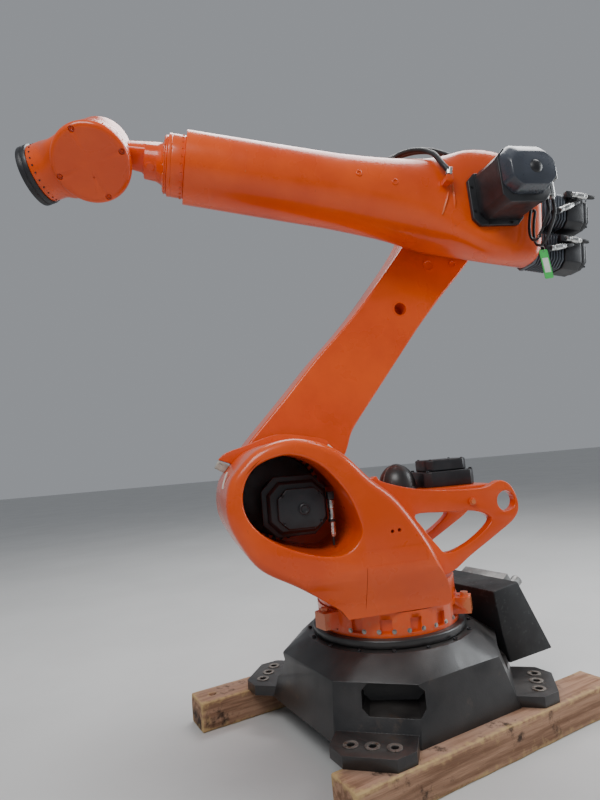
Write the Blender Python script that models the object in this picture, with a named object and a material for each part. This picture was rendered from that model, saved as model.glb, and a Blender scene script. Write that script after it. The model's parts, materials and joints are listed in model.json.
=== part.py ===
"""A heavy six-axis industrial robot arm on a cast base, parked with its link arm leaning back.

Run with: blender --background --python part.py
Lengths are metres and +Z is up. The origin is on the first axis, where the cast base meets the
two timber bearers that it stands on. +X is the arm's own front and +Y its left side.
Each moving group hangs from an empty that stands on its joint's axis.
"""
import math

import bmesh
import bpy
from mathutils import Matrix, Vector

for old in list(bpy.data.objects):
    bpy.data.objects.remove(old, do_unlink=True)

# Units and working values
MM = 0.001
SEAT = 0.3 * MM
OVERRUN = 20 * MM
ROUND_SIDES = 40
SMALL_SIDES = 12
HALF = 0.5
EIGHTH = 0.125
TURN = 2 * math.pi
EDGE_SHARES = (0.25, 0.5, 0.75)

# Skeleton: the distances between the six axes
SHOULDER_FORWARD = 350 * MM
SHOULDER_HEIGHT = 675 * MM
LINK_LENGTH = 1350 * MM
FOREARM_LENGTH = 1383 * MM
ROLL_AXIS_DROP = 41 * MM
WRIST_TO_FLANGE = 237 * MM

# Parked pose, as each axis stands at rest
BASE_TURN_DEG = 15.3
LINK_LEAN_DEG = -129.0
ELBOW_BEND_DEG = 121.5
WRIST_ROLL_DEG = -44.1
WRIST_BEND_DEG = 27.8

# Bearers under the feet
BEARER_HEIGHT = 95 * MM
BEARER_WIDTH = 115 * MM
NEAR_BEARER_FRONT = 440 * MM
NEAR_BEARER_REAR = 560 * MM
FAR_BEARER_FRONT = 580 * MM
FAR_BEARER_REAR = 430 * MM
BEARER_HOLE_RADIUS = 12 * MM
BEARER_HOLE_INSET = 60 * MM

# Cast base
BASE_SIDE = 362 * MM
BASE_CORNER = 392 * MM
BASE_EDGE_HEIGHT = 148 * MM
BASE_EDGE_SIDE = 330 * MM
BASE_EDGE_CORNER = 345 * MM
BASE_TOP_RADIUS = 282 * MM
BASE_TOP_HEIGHT = 205 * MM
COLLAR_RADIUS = 258 * MM
COLLAR_HEIGHT = 27 * MM
COLLAR_TOP = BASE_TOP_HEIGHT + COLLAR_HEIGHT
FOOT_THICKNESS = 32 * MM
FOOT_LENGTH = 113 * MM
FOOT_ROOT = 62 * MM
FOOT_REACH = BASE_CORNER + FOOT_LENGTH
FOOT_INNER = BASE_SIDE - FOOT_ROOT
FOOT_WIDTH = 230 * MM
FOOT_CHAMFER = 45 * MM
FOOT_HOLE_RADIUS = 11 * MM
FOOT_HOLE_INSET = 54 * MM
FOOT_HOLE_CIRCLE = FOOT_REACH - FOOT_HOLE_INSET
BEARER_CENTRE = FOOT_REACH * math.sqrt(HALF)
FOOT_HOLE_PITCH = 58 * MM
WINDOW_WIDTH = 175 * MM
WINDOW_HEIGHT = 78 * MM
WINDOW_BOTTOM = 68 * MM
WINDOW_DEPTH = 130 * MM
WINDOW_CORNER = 18 * MM
WINDOW_OFFSET_DEG = 8.0

# Slotted turning ring
RING_BOTTOM = COLLAR_TOP + SEAT
RING_RADIUS = 236 * MM
RING_HEIGHT = 73 * MM
RING_TOP = COLLAR_TOP + RING_HEIGHT
SLOT_COUNT = 16
SLOT_WIDTH = 37 * MM
SLOT_HEIGHT = 42 * MM
SLOT_DEPTH = 14 * MM
SLOT_SILL = 12 * MM
LUG_WIDTH = 76 * MM
LUG_REACH = 44 * MM
LUG_HEIGHT = 50 * MM
LUG_RAISE = 19 * MM
LUG_BOTTOM = COLLAR_TOP + LUG_RAISE
LUG_HOLE_RADIUS = 12 * MM
LUG_TIP_SHARE = 0.7
LUG_HOLE_SHARE = 0.55
FRONT_LUG_DEG = 20.0
REAR_LUG_DEG = 147.0

# Connection box behind the base, clear of the lugs that turn above it
BOX_WIDTH = 380 * MM
BOX_FOOT_DEPTH = 208 * MM
BOX_TOP_DEPTH = 122 * MM
BOX_LUG_CLEARANCE = 32 * MM
BOX_FOOT_REAR = BASE_SIDE + BOX_FOOT_DEPTH
BOX_TOP_FRONT = RING_RADIUS + LUG_REACH + BOX_LUG_CLEARANCE
BOX_TOP_REAR = BOX_TOP_FRONT + BOX_TOP_DEPTH
BOX_BOTTOM = 42 * MM
BOX_RISE = 137 * MM
BOX_LID_SLOPE = 13 * MM
BOX_FRONT_TOP = BASE_EDGE_HEIGHT + BOX_RISE
BOX_REAR_TOP = BOX_FRONT_TOP + BOX_LID_SLOPE
PANEL_THICKNESS = 46 * MM
PANEL_WIDTH = 210 * MM
PANEL_SHARES = (0.06, 0.60)
PLUG_RADIUS = 20 * MM
PLUG_LENGTH = 62 * MM
PLUG_PITCH = 68 * MM

# Column casting: a teardrop drum round the shoulder, on a round neck
COLUMN_NEAR = 280 * MM
COLUMN_FAR = -128 * MM
NECK_INSET = 4 * MM
NECK_RADIUS = RING_RADIUS - NECK_INSET
NECK_HEIGHT = 70 * MM
DRUM_FRONT = 197 * MM
DRUM_RISE = 174 * MM
COLUMN_EDGE = 26 * MM
OPENING_DEPTH = 300 * MM
CHAMBER_RADIUS = 148 * MM
RIM_THICKNESS = 110 * MM
UNDERCUT_RISE = 125 * MM
FIN_REACH = 226 * MM
FIN_ROOT = 180 * MM
FIN_DEG = (4.0, -9.0, -21.0)
FRONT_STOP_REACH = 224.5 * MM
FRONT_STOP_ROOT = 150 * MM
FRONT_STOP_THICKNESS = 30 * MM
FRONT_STOP_DEG = 31.8
FRONT_STOP_FAR = -112 * MM
FRONT_STOP_NEAR = -66 * MM

# Link arm, beside the column on its right
LINK_GAP = 12 * MM
LINK_NEAR = COLUMN_FAR - LINK_GAP
LINK_WIDTH = 215 * MM
LINK_FOOT_RADIUS = 165 * MM
LINK_HEAD_RADIUS = 160 * MM
LINK_EDGE = 24 * MM
SHOULDER_HUB_RADIUS = 150 * MM
ELBOW_HUB_RADIUS = 118 * MM
LINK_HOLE_RADIUS = 24.5 * MM
LINK_HOLE_SHARE = 0.657
LINK_HOLE_BACK = 24 * MM

# Shoulder drive inside the column
GEAR_FLANGE_RADIUS = 134 * MM
GEAR_FLANGE_THICKNESS = 28 * MM
COLUMN_TALL = SHOULDER_HEIGHT - RING_TOP
MOTOR_ASIDE = 22 * MM
MOTOR_BELOW_SHARE = 0.078
MOTOR_BELOW = COLUMN_TALL * MOTOR_BELOW_SHARE
MOTOR_SIDE = 156 * MM
MOTOR_LENGTH = 128 * MM
MOTOR_CHAMFER = 22 * MM
COVER_WIDTH = 206 * MM
COVER_HEIGHT_SHARE = 0.503
COVER_HEIGHT = COLUMN_TALL * COVER_HEIGHT_SHARE
COVER_LENGTH = 46 * MM
COVER_CHAMFER = 42 * MM
CAP_RADIUS = 17 * MM
CAP_LENGTH = 9 * MM
CONNECTOR_RADIUS = 11 * MM
CONNECTOR_LENGTH_SHARE = 0.376
CONNECTOR_LENGTH = COLUMN_TALL * CONNECTOR_LENGTH_SHARE
CONNECTOR_BELOW_SHARE = 0.096
CONNECTOR_BELOW = COLUMN_TALL * CONNECTOR_BELOW_SHARE

# Rear deck and its side plates
DECK_BELOW_SHOULDER = 20 * MM
DECK_TOP = SHOULDER_HEIGHT - DECK_BELOW_SHOULDER
DECK_THICKNESS = 22 * MM
DECK_REAR_SHARE = 1.006
PLATE_INSET = 75 * MM
PLATE_NEAR = COLUMN_NEAR - PLATE_INSET
PLATE_THICKNESS = 34 * MM
PLATE_HOLE_RADIUS = 33 * MM
TURN_MOTOR_BACK = 236 * MM
TURN_MOTOR_LONG = 190 * MM
TURN_MOTOR_WIDE = 150 * MM
TURN_MOTOR_HEIGHT = 52 * MM
TURN_COVER_HEIGHT = 40 * MM
TURN_COVER_SHARE = 0.82
DOME_RADIUS = 66 * MM
DOME_BACK = 66 * MM
DOME_HEIGHT = 88 * MM

# Forearm housing and tube
HOUSING_NEAR = 170 * MM
HOUSING_FAR = COLUMN_FAR
HOUSING_REAR = 212 * MM
HOUSING_TOP = 150 * MM
HOUSING_BOTTOM = 268 * MM
HOUSING_EDGE = 34 * MM
HOUSING_CORNER_SHARES = (0.93, 0.88)
HOUSING_FAR_RISE = 103 * MM
HOUSING_RISE_START = 80 * MM
WRIST_RING_BACK = 231 * MM
WRIST_RING_END = FOREARM_LENGTH - WRIST_RING_BACK
WRIST_RING_WIDTH = 58 * MM
WRIST_RING_RADIUS = 103 * MM
TUBE_START = 176 * MM
TUBE_END = WRIST_RING_END - WRIST_RING_WIDTH
TUBE_MID_SHARE = 0.42
TUBE_MID = TUBE_START + (TUBE_END - TUBE_START) * TUBE_MID_SHARE
TUBE_ROOT_RADIUS = 164 * MM
TUBE_MID_RADIUS = 132 * MM
TUBE_END_RADIUS = 122 * MM
NECK_FLANGE_RADIUS = 95 * MM
NECK_FLANGE_LENGTH = 12 * MM
WRIST_NECK_RADIUS = 58 * MM
RIM = 4 * MM

# Elbow drive, on the housing's near side
ELBOW_DROP = 69 * MM
ELBOW_TILT_DEG = 10.0
ELBOW_PLATE_WIDTH = 205 * MM
ELBOW_PLATE_HEIGHT = 194 * MM
ELBOW_PLATE_THICKNESS = 16 * MM
ELBOW_PLATE_CHAMFER = 27 * MM
ELBOW_MOTOR_WIDTH = 184 * MM
ELBOW_MOTOR_HEIGHT = 186 * MM
ELBOW_MOTOR_LENGTH = 144 * MM
ELBOW_MOTOR_CHAMFER = 26 * MM
ELBOW_MOTOR_BACK = 15 * MM
ELBOW_MOTOR_RAISE = 13 * MM
ELBOW_COVER_WIDTH = 180 * MM
ELBOW_COVER_HEIGHT = 167 * MM
ELBOW_COVER_BACK = 18.5 * MM
ELBOW_COVER_RAISE = 28.5 * MM
ELBOW_COVER_THICKNESS = 42 * MM
ELBOW_FACE_WIDTH = 161 * MM
ELBOW_FACE_HEIGHT = 109 * MM
ELBOW_FACE_BACK = 22.5 * MM
ELBOW_FACE_RAISE = 13.5 * MM
ELBOW_CAP_RADIUS = 25 * MM
ELBOW_CAP_BACK = 31 * MM
ELBOW_CAP_RAISE = 19.5 * MM
SOCKET_RADIUS = 10.5 * MM
SOCKET_LENGTH = 112 * MM
SOCKET_PITCH = 23 * MM
SOCKET_BLOCK_HEIGHT = 26 * MM
SOCKET_BLOCK_WIDTH = 34 * MM
SOCKET_RAISE = 56 * MM
SOCKET_FROM_END = 42 * MM

# Wrist drives behind the housing
WRIST_MOTOR_SIDE = 142 * MM
WRIST_MOTOR_WIDE = 118 * MM
WRIST_MOTOR_LENGTH = 244 * MM
WRIST_MOTOR_CHAMFER = 24 * MM
WRIST_MOTOR_PITCH = 132 * MM
UPPER_MOTOR_DROP = 20 * MM
LOWER_MOTOR_DROP = 176 * MM
LOWER_MOTOR_SIDE = 50 * MM
WRIST_SOCKET_RADIUS = 12 * MM
WRIST_SOCKET_LENGTH = 104 * MM
SOCKET_STRIP_THICKNESS = 6 * MM

# Each rear socket's start behind the housing, its height over its motor's middle, and its tilt
UPPER_SOCKET_STARTS = (138 * MM, 84 * MM)
UPPER_SOCKET_RAISES = (49 * MM, -23 * MM)
UPPER_SOCKET_TILTS_DEG = (3.0, 29.0)
LOWER_SOCKET_STARTS = (122 * MM, 56 * MM)
LOWER_SOCKET_RAISES = (33 * MM, -15 * MM)
LOWER_SOCKET_TILTS_DEG = (1.0, 16.0)

# Hoses over the forearm's top, cables under the elbow motor and the tag that hangs from them
HOSE_RADIUS = 12.5 * MM
SHORT_HOSE_RADIUS = 9.5 * MM
FITTING_RADIUS = 17 * MM
HOSE_BLOCK_SIDE = 26 * MM
HOSE_BLOCK_FRONT = -98 * MM
CABLE_RADIUS = 5 * MM
TAG_WIDTH = 34 * MM
TAG_LENGTH = 104 * MM
TAG_THICKNESS = 2 * MM
TAG_WIRE = 14 * MM
TAG_TURN_DEG = 14.0

# Wrist head
FORK_RADIUS = 100 * MM
FORK_FAR = -122 * MM
FORK_NEAR = -2 * MM
FORK_ARM_START = 6 * MM
FORK_CLEAR = 36 * MM
HEAD_RADIUS = 117 * MM
HEAD_NEAR = 118 * MM
COVER_RADIUS = 125 * MM
COVER_THICKNESS = 22 * MM
NOSE_RADIUS = 93 * MM
NOSE_START = 170 * MM
NOSE_GAP = 14 * MM
NOSE_WIDTH_SHARE = 0.94
FORK_ARM_SHARES = (0.96, 0.56)
FLANGE_RADIUS = 98 * MM
FLANGE_THICKNESS = 34 * MM


def paint(name, colour, roughness, metallic):
    """Make a plain finish for one kind of surface."""
    material = bpy.data.materials.new(name)
    material.use_nodes = True
    shader = material.node_tree.nodes["Principled BSDF"]
    shader.inputs["Base Color"].default_value = (*colour, 1.0)
    shader.inputs["Roughness"].default_value = roughness
    shader.inputs["Metallic"].default_value = metallic
    return material


ORANGE = paint("orange_paint", (0.72, 0.10, 0.012), 0.32, 0.0)
BLACK_CAST = paint("black_cast", (0.035, 0.035, 0.038), 0.45, 0.2)
MOTOR_BLACK = paint("motor_black", (0.016, 0.016, 0.018), 0.4, 0.0)
PALE_METAL = paint("pale_metal", (0.55, 0.55, 0.52), 0.35, 0.9)
TIMBER = paint("timber", (0.30, 0.19, 0.11), 0.85, 0.0)
BUFFER_GREY = paint("buffer_grey", (0.55, 0.53, 0.47), 0.7, 0.0)
CABLE_BLACK = paint("cable_black", (0.02, 0.02, 0.02), 0.6, 0.0)
TAG_GREEN = paint("tag_green", (0.05, 0.55, 0.12), 0.5, 0.0)


def axis_empty(name, parent, place, turn_axis, turn_deg):
    """Stand an empty on a joint's axis, turned to the parked angle."""
    empty = bpy.data.objects.new(name, None)
    bpy.context.scene.collection.objects.link(empty)
    empty.parent = parent
    empty.location = place
    empty.rotation_euler["XYZ".index(turn_axis)] = math.radians(turn_deg)
    return empty


BASE = axis_empty("base_turned", None, (0, 0, 0), "Z", BASE_TURN_DEG)
COLUMN = axis_empty("axis_1_turn", None, (0, 0, 0), "Z", 0)
LINK = axis_empty("axis_2_shoulder", COLUMN, (SHOULDER_FORWARD, 0, SHOULDER_HEIGHT), "Y", LINK_LEAN_DEG)
FOREARM = axis_empty("axis_3_elbow", LINK, (LINK_LENGTH, 0, 0), "Y", ELBOW_BEND_DEG)
ELBOW_DRIVE = axis_empty("elbow_drive_tilt", FOREARM, (0, 0, -ELBOW_DROP), "Y", ELBOW_TILT_DEG)
ROLL = axis_empty("axis_4_roll", FOREARM, (WRIST_RING_END, 0, -ROLL_AXIS_DROP), "X", WRIST_ROLL_DEG)
HEAD = axis_empty("axis_5_bend", ROLL, (FOREARM_LENGTH - WRIST_RING_END, 0, 0), "Y", WRIST_BEND_DEG)
TOOL = axis_empty("axis_6_tool", HEAD, (WRIST_TO_FLANGE, 0, 0), "X", 0)

# The turned shapes run along +Z, and these lay them along another axis
ALONG = {
    "Z": Matrix.Identity(4),
    "X": Matrix.Rotation(math.pi * HALF, 4, "Y"),
    "Y": Matrix.Rotation(-math.pi * HALF, 4, "X"),
}


def finish(name, bm, material, parent, smooth_deg=40):
    """Close a bmesh into a named object with its faces out."""
    bmesh.ops.remove_doubles(bm, verts=bm.verts, dist=0.01 * MM)
    bmesh.ops.recalc_face_normals(bm, faces=bm.faces)
    if bm.calc_volume(signed=True) < 0:
        bmesh.ops.reverse_faces(bm, faces=bm.faces)
    mesh = bpy.data.meshes.new(name)
    bm.to_mesh(mesh)
    bm.free()
    mesh.shade_smooth()
    mesh.set_sharp_from_angle(angle=math.radians(smooth_deg))
    piece = bpy.data.objects.new(name, mesh)
    bpy.context.scene.collection.objects.link(piece)
    piece.parent = parent
    if material is None:
        piece.hide_render = True
        piece.display_type = "WIRE"
    else:
        mesh.materials.append(material)
    return piece


def add_prism(bm, outline, low, high, axis="Z"):
    """Add a flat outline, extruded between two heights along an axis."""
    places = {
        "X": lambda a, b, h: (h, a, b),
        "Y": lambda a, b, h: (a, h, b),
        "Z": lambda a, b, h: (a, b, h),
    }
    rings = [[bm.verts.new(places[axis](a, b, h)) for a, b in outline] for h in (low, high)]
    count = len(outline)
    bm.faces.new(rings[0])
    bm.faces.new(list(reversed(rings[1])))
    for i in range(count):
        j = (i + 1) % count
        bm.faces.new((rings[0][j], rings[0][i], rings[1][i], rings[1][j]))


def add_rings(bm, outlines, heights):
    """Add a body along +Y through outlines of equal count, each at its own height."""
    rings = [[bm.verts.new((x, y, z)) for x, z in outline] for outline, y in zip(outlines, heights)]
    count = len(rings[0])
    bm.faces.new(rings[0])
    bm.faces.new(list(reversed(rings[-1])))
    for lower, upper in zip(rings, rings[1:]):
        for i in range(count):
            j = (i + 1) % count
            bm.faces.new((lower[j], lower[i], upper[i], upper[j]))


def prism(name, outline, low, high, axis, material, parent):
    """Make one piece from a flat outline."""
    bm = bmesh.new()
    add_prism(bm, outline, low, high, axis)
    return finish(name, bm, material, parent)


def add_turned(bm, profile, place=(0, 0, 0), axis="Z", sides=ROUND_SIDES):
    """Add a closed turned body: profile points are (radius, height), from the axis to the axis."""
    lay = Matrix.Translation(Vector(place)) @ ALONG[axis]
    rings = []
    for radius, height in profile:
        if radius == 0:
            rings.append([bm.verts.new(lay @ Vector((0, 0, height)))])
            continue
        ring = []
        for i in range(sides):
            angle = TURN * i / sides
            point = Vector((radius * math.cos(angle), radius * math.sin(angle), height))
            ring.append(bm.verts.new(lay @ point))
        rings.append(ring)
    for lower, upper in zip(rings, rings[1:]):
        for i in range(sides):
            j = (i + 1) % sides
            if len(lower) == 1:
                bm.faces.new((lower[0], upper[j], upper[i]))
            elif len(upper) == 1:
                bm.faces.new((lower[i], lower[j], upper[0]))
            else:
                bm.faces.new((lower[i], lower[j], upper[j], upper[i]))


def turned(name, profile, place, axis, material, parent, sides=ROUND_SIDES):
    """Make one turned piece."""
    bm = bmesh.new()
    add_turned(bm, profile, place, axis, sides)
    return finish(name, bm, material, parent)


def drum(radius, low, high, edge=0):
    """Profile of a cylinder with chamfered rims."""
    if edge == 0:
        return [(0, low), (radius, low), (radius, high), (0, high)]
    return [
        (0, low), (radius - edge, low), (radius, low + edge),
        (radius, high - edge), (radius - edge, high), (0, high),
    ]


def rectangle(x_low, x_high, y_low, y_high):
    """Corners of a rectangle, in order."""
    return [(x_low, y_low), (x_high, y_low), (x_high, y_high), (x_low, y_high)]


def chamfered(width, height, cut, centre=(0, 0)):
    """Outline of a rectangle with its four corners cut off."""
    w, h = width * HALF, height * HALF
    x, y = centre
    return [
        (x - w + cut, y - h), (x + w - cut, y - h), (x + w, y - h + cut), (x + w, y + h - cut),
        (x + w - cut, y + h), (x - w + cut, y + h), (x - w, y + h - cut), (x - w, y - h + cut),
    ]


def arc(centre, radius, start_deg, end_deg, steps):
    """Points along an arc, both ends included."""
    points = []
    for i in range(steps + 1):
        angle = math.radians(start_deg + (end_deg - start_deg) * i / steps)
        points.append((centre[0] + radius * math.cos(angle), centre[1] + radius * math.sin(angle)))
    return points


def curve_through(points, steps=3):
    """Smooth curve through open points, with the given steps between each pair."""
    count = len(points)
    curve = [points[0]]
    for i in range(count - 1):
        before = Vector(points[max(i - 1, 0)])
        start = Vector(points[i])
        end = Vector(points[i + 1])
        after = Vector(points[min(i + 2, count - 1)])
        for step in range(1, steps + 1):
            t = step / steps
            point = (
                start * (2 - 5 * t * t + 3 * t ** 3) + before * (2 * t * t - t - t ** 3)
                + end * (t + 4 * t * t - 3 * t ** 3) + after * (t ** 3 - t * t)
            ) * HALF
            curve.append(tuple(point))
    return curve


def closed_curve(points, steps=3):
    """Smooth curve through a closed loop of points."""
    wrapped = points[-2:] + points + points[:2]
    curve = curve_through(wrapped, steps)
    return curve[2 * steps:(2 + len(points)) * steps]


def grown(outline, distance):
    """The same closed outline with every side moved outwards."""
    area = sum(ax * by - bx * ay for (ax, ay), (bx, by) in zip(outline, outline[1:] + outline[:1]))
    side = math.copysign(1, area)
    count = len(outline)
    moved = []
    for i in range(count):
        before, here, after = (Vector(outline[j % count]) for j in (i - 1, i, i + 1))
        first = (here - before).normalized()
        second = (after - here).normalized()
        out_first = Vector((first.y, -first.x)) * side
        out_second = Vector((second.y, -second.x)) * side
        middle = (out_first + out_second).normalized()
        moved.append(tuple(here + middle * (distance / max(middle.dot(out_first), HALF))))
    return moved


def flexible(name, points, radius, material, parent):
    """Make one round cord along a smooth curve through its route's points."""
    curve = bpy.data.curves.new(name, "CURVE")
    curve.dimensions = "3D"
    curve.bevel_depth = radius
    curve.bevel_resolution = 2
    curve.use_fill_caps = True
    route = curve_through(points, 2)
    spline = curve.splines.new("POLY")
    spline.points.add(len(route) - 1)
    for slot, place in zip(spline.points, route):
        slot.co = (*place, 1)
    curve.materials.append(material)
    cord = bpy.data.objects.new(name, curve)
    bpy.context.scene.collection.objects.link(cord)
    cord.parent = parent
    return cord


def bevel(piece, width, segments=2, angle_deg=40):
    """Round the sharp edges of a piece."""
    modifier = piece.modifiers.new("rounded edges", "BEVEL")
    modifier.width = width
    modifier.segments = segments
    modifier.limit_method = "ANGLE"
    modifier.angle_limit = math.radians(angle_deg)


def boolean(piece, other, operation):
    """Join or cut a piece with another shape of the same frame."""
    modifier = piece.modifiers.new(operation.lower(), "BOOLEAN")
    modifier.operation = operation
    modifier.solver = "EXACT"
    modifier.object = other
    other.hide_render = True
    other.display_type = "WIRE"


def bearers():
    """Two timbers that the feet stand on."""
    low = -BEARER_HEIGHT
    for name, side, front, rear in (
        ("bearer_near", 1, NEAR_BEARER_FRONT, NEAR_BEARER_REAR),
        ("bearer_far", -1, FAR_BEARER_FRONT, FAR_BEARER_REAR),
    ):
        middle = side * BEARER_CENTRE
        outline = rectangle(-rear, front, middle - BEARER_WIDTH * HALF, middle + BEARER_WIDTH * HALF)
        timber = prism(name, outline, low, -SEAT, "Z", TIMBER, BASE)
        if side < 0:
            cutter = bmesh.new()
            place = (front - BEARER_HOLE_INSET, middle, 0)
            add_turned(cutter, drum(BEARER_HOLE_RADIUS, low - OVERRUN, OVERRUN), place, "Z", SMALL_SIDES)
            boolean(timber, finish("bearer_hole", cutter, None, BASE), "DIFFERENCE")


def eight_sided(side, corner, height):
    """Ring of the base's eight-sided plan at one height."""
    meet = corner * math.sqrt(2) - side
    turn = math.atan2(meet, side)
    steps = [-turn, -turn * HALF, 0, turn * HALF, turn]
    gap = TURN / 4 - 2 * turn
    steps += [turn + gap * share for share in EDGE_SHARES]
    ring = []
    for quarter in range(4):
        for step in steps:
            angle = step + TURN * quarter / 4
            if step > turn:
                reach = corner / math.cos(step - TURN * EIGHTH)
            else:
                reach = side / math.cos(step)
            ring.append((reach * math.cos(angle), reach * math.sin(angle), height))
    return ring


def base_casting():
    """Cast pedestal with four feet, four windows and twelve bolt holes."""
    bm = bmesh.new()
    plan = eight_sided(BASE_SIDE, BASE_CORNER, 0)
    angles = [math.atan2(y, x) for x, y, _ in plan]
    rings = [
        plan,
        eight_sided(BASE_EDGE_SIDE, BASE_EDGE_CORNER, BASE_EDGE_HEIGHT),
        [(BASE_TOP_RADIUS * math.cos(a), BASE_TOP_RADIUS * math.sin(a), BASE_TOP_HEIGHT) for a in angles],
    ]
    loops = [[bm.verts.new(point) for point in ring] for ring in rings]
    count = len(plan)
    for lower, upper in zip(loops, loops[1:]):
        for i in range(count):
            j = (i + 1) % count
            bm.faces.new((lower[i], lower[j], upper[j], upper[i]))
    bm.faces.new(list(reversed(loops[0])))
    bm.faces.new(loops[-1])
    casting = finish("base_casting", bm, BLACK_CAST, BASE)

    feet = bmesh.new()
    windows = bmesh.new()
    holes = bmesh.new()
    wide = FOOT_WIDTH * HALF
    outline = [
        (FOOT_INNER, -wide), (FOOT_REACH - FOOT_CHAMFER, -wide), (FOOT_REACH, -wide + FOOT_CHAMFER),
        (FOOT_REACH, wide - FOOT_CHAMFER), (FOOT_REACH - FOOT_CHAMFER, wide), (FOOT_INNER, wide),
    ]
    window = chamfered(WINDOW_WIDTH, WINDOW_HEIGHT, WINDOW_CORNER, (0, WINDOW_BOTTOM + WINDOW_HEIGHT * HALF))
    for quarter in range(4):
        corner = TURN * (EIGHTH + quarter / 4)
        turn = Matrix.Rotation(corner, 2)
        add_prism(feet, [tuple(turn @ Vector(p)) for p in outline], 0, FOOT_THICKNESS)
        for step in (-1, 0, 1):
            middle = turn @ Vector((FOOT_HOLE_CIRCLE, step * FOOT_HOLE_PITCH))
            profile = drum(FOOT_HOLE_RADIUS, -OVERRUN, FOOT_THICKNESS + OVERRUN)
            add_turned(holes, profile, (middle.x, middle.y, 0), "Z", SMALL_SIDES)
        fresh = len(windows.verts)
        add_prism(windows, window, BASE_CORNER - WINDOW_DEPTH, BASE_CORNER + OVERRUN, "X")
        spin = Matrix.Rotation(corner + math.radians(WINDOW_OFFSET_DEG), 4, "Z")
        windows.verts.ensure_lookup_table()
        bmesh.ops.transform(windows, matrix=spin, verts=windows.verts[fresh:])
    boolean(casting, finish("feet_shape", feet, None, BASE), "UNION")
    boolean(casting, finish("window_cutter", windows, None, BASE), "DIFFERENCE")
    boolean(casting, finish("foot_hole_cutter", holes, None, BASE), "DIFFERENCE")

    turned("base_collar", drum(COLLAR_RADIUS, BASE_TOP_HEIGHT + SEAT, COLLAR_TOP, 4 * MM), (0, 0, 0), "Z",
           BLACK_CAST, BASE)


def connection_box():
    """Leaning sheet-metal box behind the base, with its connector panel and plugs."""
    slope = (BASE_SIDE - BASE_EDGE_SIDE) / BASE_EDGE_HEIGHT
    foot_front = BASE_SIDE - slope * BOX_BOTTOM + SEAT
    outline = [
        (-foot_front, BOX_BOTTOM), (-BOX_FOOT_REAR, BOX_BOTTOM), (-BOX_TOP_REAR, BOX_REAR_TOP),
        (-BOX_TOP_FRONT, BOX_FRONT_TOP), (-BASE_EDGE_SIDE - SEAT, BASE_EDGE_HEIGHT),
    ]
    wide = BOX_WIDTH * HALF
    prism("connection_box", outline, -wide, wide, "Y", MOTOR_BLACK, BASE)
    back = Vector((-BOX_FOOT_REAR, BOX_BOTTOM)) - Vector((-BOX_TOP_REAR, BOX_REAR_TOP))
    length = back.length
    down = back.normalized()
    out = Vector((-down.y, down.x)) * -1
    if out.x > 0:
        out = -out
    top = Vector((-BOX_TOP_REAR, BOX_REAR_TOP))
    seat = out * SEAT
    corner_a, corner_b = (top + down * (length * share) + seat for share in PANEL_SHARES)
    thick = out * PANEL_THICKNESS
    panel = [tuple(corner_a), tuple(corner_b), tuple(corner_b + thick), tuple(corner_a + thick)]
    panel = prism("connector_panel", panel, -PANEL_WIDTH * HALF, PANEL_WIDTH * HALF, "Y", PALE_METAL, BASE)
    plugs = bmesh.new()
    middle = (corner_a + corner_b) * HALF + thick * HALF
    tilt = math.atan2(out.y, out.x)
    for step in (-1, 0, 1):
        fresh = len(plugs.verts)
        plug = drum(PLUG_RADIUS, 0, PANEL_THICKNESS * HALF + PLUG_LENGTH, RIM)
        add_turned(plugs, plug, (0, 0, 0), "X", SMALL_SIDES)
        plugs.verts.ensure_lookup_table()
        lay = Matrix.Translation((middle.x, step * PLUG_PITCH, middle.y)) @ Matrix.Rotation(-tilt, 4, "Y")
        bmesh.ops.transform(plugs, matrix=lay, verts=plugs.verts[fresh:])
    boolean(panel, finish("plug_shapes", plugs, None, BASE), "UNION")


def turning_ring():
    """Orange ring on the base's collar, with its row of slots, its stop and its lifting lug."""
    ring = turned("turning_ring", drum(RING_RADIUS, RING_BOTTOM, RING_TOP), (0, 0, 0), "Z", ORANGE, COLUMN,
                  sides=2 * ROUND_SIDES)
    slots = bmesh.new()
    low = RING_BOTTOM + SLOT_SILL
    for i in range(SLOT_COUNT):
        fresh = len(slots.verts)
        outline = rectangle(-SLOT_WIDTH * HALF, SLOT_WIDTH * HALF, low, low + SLOT_HEIGHT)
        add_prism(slots, outline, RING_RADIUS - SLOT_DEPTH, RING_RADIUS + OVERRUN, "X")
        slots.verts.ensure_lookup_table()
        spin = Matrix.Rotation(TURN * i / SLOT_COUNT, 4, "Z")
        bmesh.ops.transform(slots, matrix=spin, verts=slots.verts[fresh:])
    boolean(ring, finish("slot_cutter", slots, None, COLUMN), "DIFFERENCE")
    lugs = bmesh.new()
    holes = bmesh.new()
    high = LUG_BOTTOM + LUG_HEIGHT
    for angle in (FRONT_LUG_DEG, REAR_LUG_DEG):
        inner = RING_RADIUS - SLOT_DEPTH - RIM
        reach = RING_RADIUS + LUG_REACH
        half = LUG_WIDTH * HALF
        tip = half * LUG_TIP_SHARE
        fresh = len(lugs.verts)
        add_prism(lugs, [(inner, -half), (reach, -tip), (reach, tip), (inner, half)], LUG_BOTTOM, high)
        lugs.verts.ensure_lookup_table()
        spin = Matrix.Rotation(math.radians(angle), 4, "Z")
        bmesh.ops.transform(lugs, matrix=spin, verts=lugs.verts[fresh:])
        middle = spin @ Vector((RING_RADIUS + LUG_REACH * LUG_HOLE_SHARE, 0, 0))
        through = drum(LUG_HOLE_RADIUS, LUG_BOTTOM - OVERRUN, high + OVERRUN)
        add_turned(holes, through, (middle.x, middle.y, 0), "Z", SMALL_SIDES)
    boolean(ring, finish("lug_shapes", lugs, None, COLUMN), "UNION")
    boolean(ring, finish("lug_hole_cutter", holes, None, COLUMN), "DIFFERENCE")


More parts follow.
